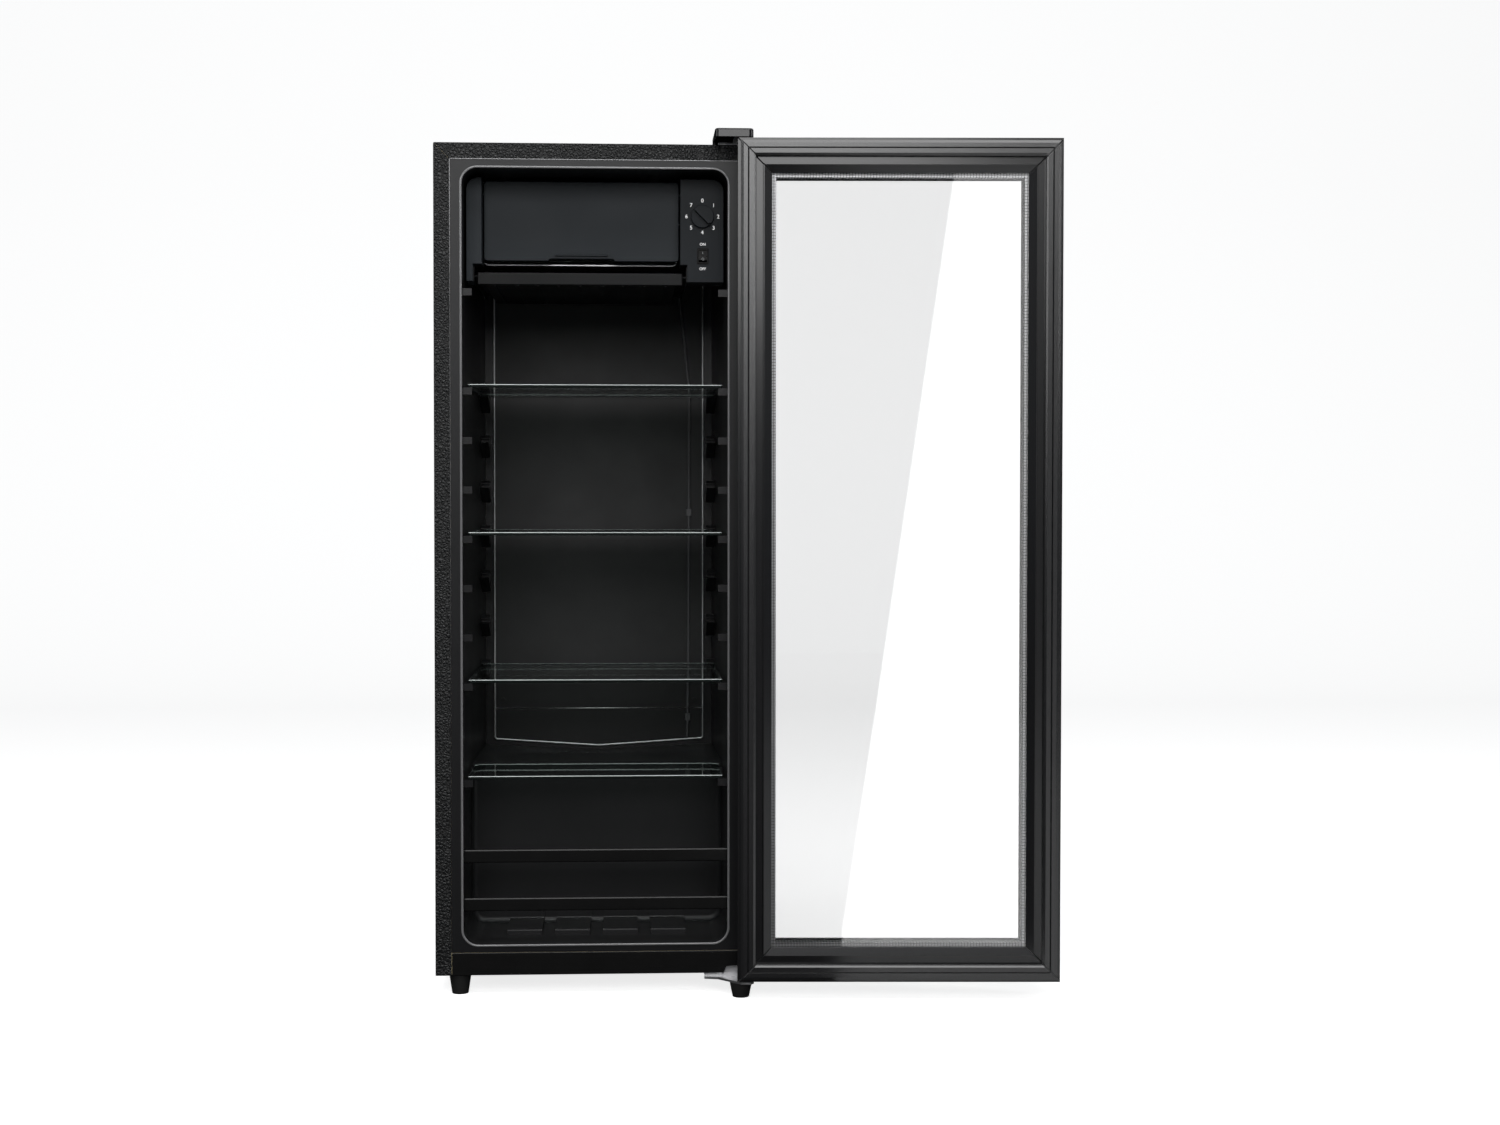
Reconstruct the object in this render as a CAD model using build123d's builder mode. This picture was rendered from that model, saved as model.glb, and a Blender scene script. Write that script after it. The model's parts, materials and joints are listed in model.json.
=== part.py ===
from build123d import *
import math
import os

# Upright display cooler with one hinged glass door, an ice box behind a flap, glass shelves and a
# compressor bay under a step at the back. Millimetres. The origin is on the floor under the middle
# of the cabinet, +X is to the right of someone facing the door, +Y runs to the back, +Z is up.
# The door is modelled swung open, the pose it rests in; every other moving piece is at home.

os.makedirs("parts", exist_ok=True)

# ---------------------------------------------------------------- driving dimensions
# cabinet
cabinet_width = 430.0
cabinet_depth = 435.0
cabinet_height = 1115.0
ground_clearance = 26.8
casing_gauge = 1.0
casing_flange = 21.5
casing_back_flange = 12.0
panel_gauge = 0.8
deck_gauge = 1.0
base_gauge = 1.5
base_upstand = 15.0
kick_gauge = 1.2
kick_height = 30.5
kick_return = 9.0
seam = 0.6

# liner and the space inside it
side_wall = 36.0
sill_height = 40.0
head_height = 32.0
opening_radius = 22.0
liner_gauge = 2.0
liner_draft = 1.2
back_wall = 44.0
step_depth = 153.0
step_height = 269.2
step_fillet = 8.0
bay_wall = 37.0
trough_depth = 9.0
trough_length = 126.0
trough_side_gap = 15.0
trough_lip = 12.0
pad_count = 4
pad_width = 48.0
pad_pitch = 65.7
pad_start = 66.0
pad_rise = 6.0
pad_upstand = 20.0

# shelving
shelf_side_gap = 1.5
shelf_thickness = 4.5
shelf_inset = 12.0
shelf_rear_space = 91.0
bottom_shelf_clearance = 3.0
shelf_clearance = 0.3
peg_size = 9.5
peg_reach = 14.0
peg_inset = 8.0
peg_steps = 10
lowest_peg_drop = 13.7
highest_peg_drop = 165.5
support_length = 48.0
support_reach = 13.0
support_height = 22.0
catch_length = 10.0
catch_height = 5.0
catch_gap = 0.6

# lower guard bars
bar_height = 18.0
bar_thickness = 9.0
bar_inset = 11.0
bar_levels = (84.5, 150.0)
bar_edge_radius = 2.2
bar_pin_radius = 3.0
bar_end_gap = 0.3

# evaporators
plate_side_gap = 22.0
plate_gauge = 1.0
plate_gap = 5.0
plate_rise = 8.8
plate_v = 10.4
plate_top_drop = 28.0
crease_rise = 54.8
plate_kick = 1.5
coil_radius = 2.1
coil_inset = 19.0
coil_rows = 10
ice_box_left_lap = 1.8
ice_box_right_gap = 3.0
ice_box_drops = (20.0, 120.0)
ice_box_front_gap = 2.0
ice_box_back_space = 51.0
ice_box_gauge = 1.5
hanger_size = 12.0

# ice box surround
surround_front = 50.0
surround_gauge = 2.0
surround_back = 104.0
surround_drops = (7.2, 147.0)
surround_radius = 16.0
cheek_side_gap = 4.0
cheek_width = 20.8
cheek_notch = 12.0
housing_side_gap = 5.0
housing_width = 59.0
housing_notch = 9.4
notch_drop = 120.0
flap_gap = 1.2
flap_front = 78.0
flap_thickness = 7.0
flap_drops = (8.0, 116.5)
flap_radius = 5.0
flap_pivot_drop = 26.0
flap_pin_radius = 2.5
flap_pin_length = 3.0
finger_width = 90.0
finger_rise = 3.0
pull_width = 73.0
running_clearance = 0.06

# drip tray and its runners
tray_left_lap = 6.2
tray_right_lap = 2.9
tray_front = 60.0
tray_back_space = 29.0
tray_drops = (134.2, 150.6)
tray_wall = 2.0
tray_lip = 8.0
tray_lip_thickness = 2.5
tray_rail = 5.0
tray_ribs = 9
runner_gauge = 1.2
runner_short = 6.0
runner_gap = 0.4
runner_overhang = 1.2

# thermostat and switch
knob_in = 30.0
knob_drop = 57.8
knob_radius = 16.0
knob_skirt = 4.5
knob_grip_height = 9.0
knob_grip_width = 5.0
knob_rest_angle = 45.0
knob_gap = 0.4
shaft_radius = 3.0
switch_in = 30.5
switch_drop = 111.4
switch_width = 15.3
switch_height = 21.2
switch_lip = 1.6
rocker_width = 10.8
rocker_radius = 8.0
rocker_tilt = 12.0
rocker_pin_radius = 1.2

# hoses
hose_radius = 1.8
drain_radius = 5.0
drain_bore = 3.6

# hinges
hinge_inset = 12.6
hinge_reach = 28.5
door_open_angle = 177.0
bracket_gauge = 3.0
pin_radius = 4.0
pin_length = 9.0
bush_wall = 2.5
bush_flange = 1.0
bracket_back = 45.0
tongue_gauge = 1.0
cap_height = 11.0
cap_wall = 2.0
screw_radius = 2.5

# door
door_over_top = 2.5
door_under_base = 2.5
bracket_clearance = 1.8
gasket_gap = 1.5
gasket_height = 8.0
gasket_inset = 3.0
gasket_width = 21.0
frame_thickness = 44.0
frame_width = 51.0
frame_wall = 2.0
frame_face = 11.0
frame_chamber = 12.0
glass_thickness = 4.0
glass_edge = 16.0
glass_play = 0.3
pane_gap = 16.0
spacer_width = 8.0
bevel_width = 10.0
handle_length = 230.0
handle_width = 16.0
handle_standoff = 24.0
handle_depth = 10.0
handle_post = 14.0

# feet
foot_radius = 15.0
foot_toe_radius = 11.0
stud_radius = 3.0
stud_length = 14.0
foot_side_inset = 32.0
left_foot_inset = 17.0
right_foot_inset = 20.5
right_foot_forward = 23.5
rear_foot_inset = 28.0

# compressor bay
compressor_x = 55.0
compressor_inset = 118.0
compressor_radius = 70.0
compressor_height = 140.0
compressor_shell = 3.5
dome_radius = 34.0
dish_radius = 14.0
grommet_height = 14.0
grommet_radius = 9.0
mount_half = 88.0
mount_half_depth = 58.0
mount_gauge = 2.5
pan_wall = 1.8
pan_height = 24.0
pipe_radius = 2.6
drier_radius = 9.0
drier_length = 95.0
rear_upstand = 46.0
gland_inset = 42.0
gland_hole_radius = 8.0

# condenser
condenser_side_gap = 50.0
condenser_drop = 115.0
condenser_riser_gap = 14.0
condenser_bottom = 300.0
condenser_pitch = 50.0
condenser_standoff = 16.0
condenser_pipe = 2.4
wire_radius = 0.8
wire_count = 22

# ---------------------------------------------------------------- derived places
half_width = cabinet_width / 2
front = -cabinet_depth / 2
back = cabinet_depth / 2
base_z = ground_clearance
top_z = base_z + cabinet_height
opening_half = half_width - side_wall
door_width = cabinet_width
head = cabinet_height - head_height
cavity_depth = cabinet_depth - back_wall
opening_bottom = base_z + sill_height
opening_top = top_z - head_height
opening_height = opening_top - opening_bottom
opening_middle = (opening_top + opening_bottom) / 2
draft_slope = math.tan(math.radians(liner_draft))
step_top = base_z + step_height
bay_front = step_depth + bay_wall
bay_top = step_top - bay_wall
inside_half = half_width - casing_gauge
inside_top = top_z - casing_gauge
inside_back = cabinet_depth - casing_gauge
hinge_x = half_width - hinge_inset
hinge_y = front - hinge_reach
right_foot = (half_width - right_foot_inset, -right_foot_forward)
bracket_over = top_z + door_over_top + bracket_clearance
bracket_under = base_z - door_under_base - bracket_clearance
pin_top_end = top_z + door_over_top - pin_length
pin_low_end = base_z - door_under_base + pin_length
suction_x = compressor_x + 60
suction_depth = bay_front + 40
trough_front = cavity_depth - trough_length
trough_half_width = opening_half - trough_side_gap
lowest_peg = step_height - lowest_peg_drop
peg_pitch = (head - highest_peg_drop - lowest_peg) / peg_steps
plate_half_width = opening_half - plate_side_gap
plate_bottom = step_height + plate_rise
plate_crease = step_height + crease_rise
plate_top = head - plate_top_drop
coil_half_width = plate_half_width - coil_inset
surround_top, surround_bottom = (head - drop for drop in surround_drops)
notch_top = head - notch_drop
cheek_outer = cheek_side_gap - opening_half
cheek_inner = cheek_outer + cheek_width
housing_outer = opening_half - housing_side_gap
housing_inner = housing_outer - housing_width
ice_box_left = cheek_inner - ice_box_left_lap
ice_box_right = housing_inner - ice_box_right_gap
ice_box_top, ice_box_bottom = (head - drop for drop in ice_box_drops)
ice_box_front = surround_back + ice_box_front_gap
ice_box_back = cavity_depth - ice_box_back_space
flap_top, flap_bottom = (head - drop for drop in flap_drops)
flap_pivot = head - flap_pivot_drop
tray_left = cheek_inner - tray_left_lap
tray_right = housing_inner + tray_right_lap
tray_back = cavity_depth - tray_back_space
tray_top, tray_bottom = (head - drop for drop in tray_drops)
runner_back = tray_back - runner_short
knob_x = housing_inner + knob_in
knob_z = head - knob_drop
switch_x = housing_inner + switch_in
switch_z = head - switch_drop
left_foot = (foot_side_inset - half_width, left_foot_inset)
condenser_half_width = half_width - condenser_side_gap
condenser_riser_x = condenser_half_width + condenser_riser_gap
condenser_rows = int((cabinet_height - condenser_drop - condenser_bottom) / condenser_pitch) + 1


def level(height):
    """Height above the floor of something given by its height above the cabinet's underside."""
    return base_z + height


def facing(depth):
    """A plane that faces the user, depth millimetres behind the cabinet's front."""
    return Plane.XZ.offset(-(front + depth))


def wall_half(depth):
    """Half the width between the liner's walls at a depth."""
    return opening_half - depth * draft_slope


def save(piece, name):
    """Label a finished piece and write it out."""
    piece.part.label = name
    export_step(piece.part, f"parts/{name}.step")


def box_between(x_range, depth_range, z_range, mode=Mode.ADD):
    """A block given by its three ranges; the middle one is measured back from the front."""
    x0, x1 = x_range
    d0, d1 = depth_range
    z0, z1 = z_range
    with Locations(((x0 + x1) / 2, front + (d0 + d1) / 2, (z0 + z1) / 2)):
        Box(abs(x1 - x0), abs(d1 - d0), abs(z1 - z0), mode=mode)


def post(x, depth, z_range, radius, mode=Mode.ADD):
    """An upright cylinder between two heights."""
    z0, z1 = z_range
    with Locations((x, front + depth, (z0 + z1) / 2)):
        Cylinder(radius, abs(z1 - z0), mode=mode)


def rod_along_x(x_range, depth, z, radius, mode=Mode.ADD):
    """A cylinder that lies across the cabinet."""
    x0, x1 = x_range
    with Locations(((x0 + x1) / 2, front + depth, z)):
        Cylinder(radius, abs(x1 - x0), rotation=(0, 90, 0), mode=mode)


# ---------------------------------------------------------------- storage space and liner
def cavity(grow):
    """The space inside the liner, grown by grow on every side: a drafted box less the step."""
    with BuildPart() as space:
        with BuildSketch(facing(0)):
            with Locations((0, opening_middle)):
                RectangleRounded(2 * (opening_half + grow), opening_height + 2 * grow, opening_radius + grow)
        extrude(amount=-(cavity_depth + grow), taper=liner_draft)
        with BuildSketch(facing(step_depth + grow)):
            with Locations((0, (step_top - grow + opening_bottom - liner_gauge) / 2)):
                Rectangle(cabinet_width, step_top - grow - opening_bottom + liner_gauge)
        extrude(amount=-cavity_depth, mode=Mode.SUBTRACT)
        step_y = front + step_depth + grow
        step_edges = space.edges().filter_by(
            lambda e: abs(e.center().Y - step_y) < 0.01 and e.center().Z < step_top - grow + 0.01
        )
        fillet(step_edges, step_fillet + (0 if grow == 0 else grow / 2))
    return space.part


def trough(grow):
    """The drain channel at the back of the step: a shallow V with its lowest point in the middle."""
    half = trough_half_width + grow
    low = step_top - trough_depth - grow
    with BuildPart() as channel:
        with BuildSketch(facing(trough_front - grow)):
            with BuildLine():
                Polyline(
                    (-half, step_top + 1), (-half, step_top - grow - 0.2), (0, low),
                    (half, step_top - grow - 0.2), (half, step_top + 1), close=True,
                )
            make_face()
        extrude(amount=-(cavity_depth - trough_front + 2 * grow))
        with BuildSketch(Plane.XY.offset(low - 1)):
            with BuildLine():
                near = front + trough_front - grow
                far = front + cavity_depth + grow
                Polyline(
                    (-half + trough_lip, near), (half - trough_lip, near),
                    (half, far), (-half, far), close=True,
                )
            make_face()
        extrude(amount=trough_depth + 2 * grow + 4, mode=Mode.INTERSECT)
    return channel.part


peg_levels = [level(lowest_peg + 2.2)] + [level(lowest_peg) + peg_pitch * n for n in (2, 3, 4, 5, 6, 7, 8, 10)]
support_levels = [level(lowest_peg) + peg_pitch * n for n in range(2, 9)]
shelf_rear = cavity_depth - shelf_rear_space + shelf_inset
shelf_half = wall_half(shelf_rear) - shelf_side_gap
bottom_shelf_rear = step_depth - bottom_shelf_clearance
pad_centres = [(n - (pad_count - 1) / 2) * pad_pitch for n in range(pad_count)]


def shelf_bottom(peg_level):
    """Underside of a shelf that rests on the pegs of a level."""
    return peg_level + peg_size / 2 + shelf_clearance


with BuildPart() as storage_space:
    add(cavity(0))
    add(trough(0))
    # raised pads on the floor, turned up against the step
    for x in pad_centres:
        span = (x - pad_width / 2, x + pad_width / 2)
        floor_z = opening_bottom + step_depth * draft_slope
        with BuildPart(mode=Mode.PRIVATE) as pad:
            box_between(span, (pad_start, step_depth + 1), (opening_bottom - 1, floor_z + pad_rise))
            box_between(span, (step_depth - pad_rise, step_depth + 1), (floor_z, floor_z + pad_upstand))
            fillet(pad.edges().filter_by(Axis.X).group_by(Axis.Z)[1:], 2.5)
        add(pad.part, mode=Mode.SUBTRACT)
    for side in (-1, 1):
        for z in peg_levels:
            reach = opening_half - peg_reach
            box_between((side * reach, side * half_width), (peg_inset, peg_inset + peg_size),
                        (z - peg_size / 2, z + peg_size / 2), mode=Mode.SUBTRACT)
        # bottom shelf's rear supports
        z = peg_levels[0]
        reach = wall_half(step_depth) - support_reach
        box_between((side * reach, side * half_width), (step_depth - 22, step_depth + 1),
                    (z - peg_size / 2, z + peg_size / 2), mode=Mode.SUBTRACT)
        # tapered rear supports, each with a catch that holds the glass down
        for z in support_levels:
            under = z + peg_size / 2
            over = shelf_bottom(z) + shelf_thickness + catch_gap
            reach = wall_half(shelf_rear) - support_reach
            with BuildSketch(Plane.YZ.offset(side * reach)):
                with BuildLine():
                    y_rear = front + shelf_rear + 14
                    y_stop = front + shelf_rear + 1.5
                    Polyline(
                        (y_rear - support_length, under), (y_stop, under), (y_stop, over),
                        (y_stop - catch_length, over), (y_stop - catch_length, over + 1),
                        (y_stop + 2, over + catch_height), (y_rear, over + catch_height),
                        (y_rear, under - support_height), close=True,
                    )
                make_face()
            extrude(amount=side * half_width, mode=Mode.SUBTRACT)

drain_depth = cavity_depth - 16
with BuildPart() as inner_liner:
    add(cavity(liner_gauge))
    add(trough(liner_gauge))
    with BuildSketch(facing(0)):
        flange_half = half_width - casing_flange - seam
        flange_low = level(kick_height) + seam
        flange_high = top_z - casing_flange - seam
        with Locations((0, (flange_low + flange_high) / 2)):
            Rectangle(2 * flange_half, flange_high - flange_low)
    extrude(amount=-liner_gauge)
    add(storage_space.part, mode=Mode.SUBTRACT)
    for height in bar_levels:
        rod_along_x((casing_flange - half_width, half_width - casing_flange), bar_inset + bar_thickness / 2,
                    level(height) + bar_height / 2, bar_pin_radius, mode=Mode.SUBTRACT)
    post(0, drain_depth, (step_top - 40, step_top), drain_radius, mode=Mode.SUBTRACT)
save(inner_liner, "inner_liner")

# ---------------------------------------------------------------- fasteners that other parts seat on
hinge_screw_places = [(hinge_x - 30, 15.0), (hinge_x - 8, 30.0)]
with BuildPart() as hinge_screws:
    for x, depth in hinge_screw_places:
        post(x, depth, (top_z - 14, top_z + bracket_gauge), screw_radius)
        post(x, depth, (top_z + bracket_gauge, top_z + bracket_gauge + 2.4), 2 * screw_radius)
        post(x, depth, (base_z - bracket_gauge, base_z + 12), screw_radius)
        post(x, depth, (base_z - bracket_gauge - 2.4, base_z - bracket_gauge), 2 * screw_radius)
save(hinge_screws, "hinge_screws")

back_screw_places = [
    (x, z) for x in (-inside_half + 10, inside_half - 10)
    for z in (bay_top + 25, (bay_top + top_z) / 2, top_z - 30)
]
with BuildPart() as back_screws:
    for x, z in back_screw_places:
        with Locations((x, front + cabinet_depth - 6, z)):
            Cylinder(1.9, 13, rotation=(90, 0, 0))
        with Locations((x, front + cabinet_depth + 1.2, z)):
            Cylinder(4.2, 2.4, rotation=(90, 0, 0))
save(back_screws, "back_screws")

# ---------------------------------------------------------------- outer casing
with BuildPart() as outer_casing:
    box_between((-half_width, half_width), (0, cabinet_depth), (base_z, top_z))
    fillet(outer_casing.edges().filter_by(Axis.Y).group_by(Axis.Z)[-1], 2.0)
    box_between((-inside_half, inside_half), (casing_gauge, inside_back), (base_z - 1, inside_top),
                mode=Mode.SUBTRACT)
    window = half_width - casing_flange
    box_between((-window, window), (-1, casing_gauge + 1), (base_z - 1, top_z - casing_flange),
                mode=Mode.SUBTRACT)
    window = half_width - casing_back_flange
    box_between((-window, window), (inside_back - 1, cabinet_depth + 1),
                (base_z - 1, top_z - casing_back_flange), mode=Mode.SUBTRACT)
    # the folded corners of the front flange meet on a mitre
    for side in (-1, 1):
        with Locations((side * (half_width - casing_flange / 2), front, top_z - casing_flange / 2)):
            Box(casing_flange * 1.25, 3 * casing_gauge, 0.4, rotation=(0, -side * 45, 0), mode=Mode.SUBTRACT)
    add(hinge_screws.part, mode=Mode.SUBTRACT)
    add(back_screws.part, mode=Mode.SUBTRACT)
save(outer_casing, "outer_casing")

with BuildPart() as back_panel:
    box_between((-inside_half + 0.5, inside_half - 0.5), (inside_back - panel_gauge, inside_back),
                (bay_top, inside_top - 0.5))
    add(back_screws.part, mode=Mode.SUBTRACT)
save(back_panel, "back_panel")

# ---------------------------------------------------------------- base
with BuildPart() as kick_plate:
    kick_half = half_width - casing_flange - seam
    box_between((-kick_half, kick_half), (0, kick_gauge), (base_z, level(kick_height)))
    box_between((-kick_half, kick_half), (0, kick_return), (base_z, base_z + kick_gauge))
    box_between((-kick_half, kick_half), (0, kick_return / 2),
                (level(kick_height) - kick_gauge, level(kick_height)))
    nose = kick_plate.edges().filter_by(Axis.X).group_by(Axis.Y)[0]
    fillet(nose, 0.9)
save(kick_plate, "kick_plate")

rear_feet_places = [(side * (half_width - foot_side_inset), cabinet_depth - rear_foot_inset) for side in (-1, 1)]
tray_feet = [left_foot] + rear_feet_places
gland_x = -inside_half + gland_inset
gland_z = base_z + rear_upstand / 2
with BuildPart() as base_tray:
    tray_half = inside_half - 0.2
    box_between((-tray_half, tray_half), (kick_return + 0.5, inside_back), (base_z, base_z + base_gauge))
    for side in (-1, 1):
        box_between((side * (tray_half - base_gauge), side * tray_half), (kick_return + 0.5, inside_back),
                    (base_z, base_z + base_upstand))
    # the back edge stands up behind the compressor and carries the cord's gland
    upstand_half = tray_half - base_gauge - seam
    box_between((-upstand_half, upstand_half), (inside_back - base_gauge, inside_back),
                (base_z, base_z + rear_upstand))
    with Locations((gland_x, front + inside_back, gland_z)):
        Cylinder(gland_hole_radius, 8, rotation=(90, 0, 0), mode=Mode.SUBTRACT)
    for x, depth in tray_feet:
        post(x, depth, (base_z - 1, base_z + 3), stud_radius + running_clearance, mode=Mode.SUBTRACT)
    add(hinge_screws.part, mode=Mode.SUBTRACT)
save(base_tray, "base_tray")

with BuildPart() as bay_deck:
    deck_half = inside_half - 0.2
    deck_back = inside_back - panel_gauge
    box_between((-deck_half, deck_half), (bay_front, bay_front + deck_gauge),
                (base_z + base_gauge, bay_top + deck_gauge))
    box_between((-deck_half, deck_half), (bay_front, deck_back), (bay_top, bay_top + deck_gauge))
    for side in (-1, 1):
        box_between((side * (deck_half - base_gauge), side * deck_half), (bay_front, bay_front + 1),
                    (base_z, base_z + base_upstand + 0.2), mode=Mode.SUBTRACT)
    post(0, drain_depth, (bay_top - 1, bay_top + 3), drain_radius, mode=Mode.SUBTRACT)
    post(suction_x, suction_depth, (bay_top - 1, bay_top + 3), pipe_radius, mode=Mode.SUBTRACT)
save(bay_deck, "bay_deck")

with BuildPart() as cord_gland:
    with BuildSketch(Plane.YZ.offset(gland_x)):
        with BuildLine():
            outside = front + inside_back
            inside = outside - base_gauge
            Polyline(
                (inside - 4, gland_z + 3.6), (outside + 7, gland_z + 3.6), (outside + 7, gland_z + 6),
                (outside + 2.5, gland_z + 11), (outside, gland_z + 11), (outside, gland_z + gland_hole_radius),
                (inside, gland_z + gland_hole_radius), (inside, gland_z + 10), (inside - 4, gland_z + 9),
                close=True,
            )
        make_face()
    revolve(axis=Axis((gland_x, front + inside_back, gland_z), (0, 1, 0)))
save(cord_gland, "cord_gland")

# ---------------------------------------------------------------- insulation
with BuildPart() as foam:
    box_between((-inside_half, inside_half), (casing_gauge, inside_back - panel_gauge),
                (base_z + base_gauge, inside_top))
    add(cavity(liner_gauge), mode=Mode.SUBTRACT)
    add(trough(liner_gauge), mode=Mode.SUBTRACT)
    box_between((-half_width, half_width), (bay_front, cabinet_depth), (base_z, bay_top + deck_gauge),
                mode=Mode.SUBTRACT)
    for piece in (inner_liner, kick_plate, base_tray, hinge_screws, back_screws):
        add(piece.part, mode=Mode.SUBTRACT)
    post(0, drain_depth, (bay_top, step_top), drain_radius, mode=Mode.SUBTRACT)
    x, depth = left_foot
    post(x, depth, (base_z, base_z + stud_length + 2), stud_radius + 1, mode=Mode.SUBTRACT)
    post(suction_x, suction_depth, (bay_top, bay_top + 20), pipe_radius, mode=Mode.SUBTRACT)
save(foam, "foam_insulation")

# ---------------------------------------------------------------- guard bars
bar_half = wall_half(bar_inset + bar_thickness) - bar_end_gap
bar_pin_half = wall_half(bar_inset) + liner_gauge - bar_end_gap
with BuildPart() as guard_bars:
    for height in bar_levels:
        box_between((-bar_half, bar_half), (bar_inset, bar_inset + bar_thickness),
                    (level(height), level(height) + bar_height))
    fillet(guard_bars.edges().filter_by(Axis.X), bar_edge_radius)
    for height in bar_levels:
        rod_along_x((-bar_pin_half, bar_pin_half), bar_inset + bar_thickness / 2,
                    level(height) + bar_height / 2, bar_pin_radius)
save(guard_bars, "guard_bars")

# ---------------------------------------------------------------- evaporators
plate_face = cavity_depth - plate_gap - plate_gauge
with BuildPart() as cold_plate:
    with BuildSketch(Plane.YZ):
        with BuildLine():
            y = front + plate_face
            low = level(plate_bottom - plate_v) - 2
            Polyline(
                (y, level(plate_top)), (y, level(plate_crease)), (y + plate_kick, low),
                (y + plate_kick + plate_gauge, low), (y + plate_gauge, level(plate_crease)),
                (y + plate_gauge, level(plate_top)), close=True,
            )
        make_face()
    extrude(amount=plate_half_width, both=True)
    with BuildSketch(facing(plate_face - 5)):
        with BuildLine():
            w = plate_half_width
            Polyline(
                (-w, level(plate_bottom)), (0, level(plate_bottom - plate_v)), (w, level(plate_bottom)),
                (w, level(plate_top)), (-w, level(plate_top)), close=True,
            )
        make_face()
        fillet(vertices(), 4.0)
    extrude(amount=-20, mode=Mode.INTERSECT)
save(cold_plate, "cold_plate")

coil_pitch = (plate_top - plate_crease - 80) / coil_rows
coil_y = front + cavity_depth - plate_gap / 2
coil_bottom = level(plate_crease) + 40
with BuildPart() as evaporator_coil:
    route = []
    for row in range(coil_rows):
        z = coil_bottom + coil_pitch * row
        ends = (-coil_half_width, coil_half_width) if row % 2 == 0 else (coil_half_width, -coil_half_width)
        route += [(ends[0], coil_y, z), (ends[1], coil_y, z)]
    with BuildLine() as coil_path:
        FilletPolyline(*route, radius=coil_pitch * 0.45)
    with BuildSketch(Plane(origin=route[0], z_dir=(1, 0, 0))):
        Circle(coil_radius)
    sweep(path=coil_path.wire())
save(evaporator_coil, "evaporator_coil")

with BuildPart() as plate_spacers:
    for x in (-plate_half_width + 12, plate_half_width - 12):
        for z in (level(plate_crease) + 12, level(plate_top) - 25):
            with Locations((x, front + cavity_depth - plate_gap / 2, z)):
                Cylinder(5, plate_gap, rotation=(90, 0, 0))
            with Locations((x, front + plate_face - 0.8, z)):
                Cylinder(4, 1.6, rotation=(90, 0, 0))
save(plate_spacers, "plate_spacers")

with BuildPart() as ice_box:
    box_between((ice_box_left, ice_box_right), (ice_box_front, ice_box_back),
                (level(ice_box_bottom), level(ice_box_top)))
    fillet(ice_box.edges().filter_by(Axis.Y), 8)
    offset(amount=-ice_box_gauge, openings=ice_box.faces().sort_by(Axis.Y)[0])
    # four blocks hang it from the liner's ceiling
    for x in (ice_box_left + 30, ice_box_right - 30):
        for depth in (ice_box_front + 30, ice_box_back - 40):
            ceiling = opening_top - (depth + hanger_size / 2) * draft_slope
            box_between((x - hanger_size / 2, x + hanger_size / 2),
                        (depth - hanger_size / 2, depth + hanger_size / 2), (level(ice_box_top), ceiling))
save(ice_box, "ice_box")

# ---------------------------------------------------------------- ice box surround
def surround(x_inner, x_outer, notch):
    """A moulded cheek: a front face and two side walls, notched at its inner lower corner."""
    side = math.copysign(1, x_outer)
    low, high = level(surround_bottom), level(surround_top)
    with BuildPart() as shell:
        box_between((x_inner, x_outer), (surround_front, surround_back), (low, high))
        corner = shell.edges().filter_by(Axis.Y).group_by(Axis.Z)[-1]
        fillet(corner.sort_by(Axis.X)[-1 if side > 0 else 0], surround_radius)
        box_between((x_inner, x_inner + side * notch), (surround_front - 1, surround_back + 1),
                    (low - 1, level(notch_top - 3.6)), mode=Mode.SUBTRACT)
        rear = shell.faces().filter_by(Axis.Y).sort_by(Axis.Y)[-1]
        offset(amount=-surround_gauge, openings=rear)
        rim = shell.faces().filter_by(Axis.Y).sort_by(Axis.Y)[0].outer_wire().edges()
        fillet(rim, 0.6)
    return shell


pivot_depth = flap_front + flap_thickness / 2
left_cheek = surround(cheek_inner, cheek_outer, cheek_notch)
with BuildPart() as ice_box_cheek:
    add(left_cheek.part)
    rod_along_x((cheek_inner - 10, cheek_inner + 5), pivot_depth, level(flap_pivot),
                flap_pin_radius + running_clearance, mode=Mode.SUBTRACT)
save(ice_box_cheek, "ice_box_cheek")

control_shell = surround(housing_inner, housing_outer, housing_notch)
with BuildPart() as control_housing:
    add(control_shell.part)
    rod_along_x((housing_inner - 5, housing_inner + 10), pivot_depth, level(flap_pivot),
                flap_pin_radius + running_clearance, mode=Mode.SUBTRACT)
    with Locations((knob_x, front + surround_front, level(knob_z))):
        Cylinder(shaft_radius + 1, 10, rotation=(90, 0, 0), mode=Mode.SUBTRACT)
    with Locations((switch_x, front + surround_front, level(switch_z))):
        Box(switch_width - 2, 10, switch_height - 2, mode=Mode.SUBTRACT)
save(control_housing, "control_housing")

panel_back = surround_front + surround_gauge
with BuildPart() as thermostat_body:
    box_between((knob_x - 15, knob_x + 15), (panel_back, panel_back + 24),
                (level(knob_z) - 19, level(knob_z) + 19))
    fillet(thermostat_body.edges().filter_by(Axis.Y), 2)
    with Locations((knob_x, front + panel_back, level(knob_z))):
        Cylinder(shaft_radius + running_clearance, 32, rotation=(90, 0, 0), mode=Mode.SUBTRACT)
save(thermostat_body, "thermostat_body")

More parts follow.
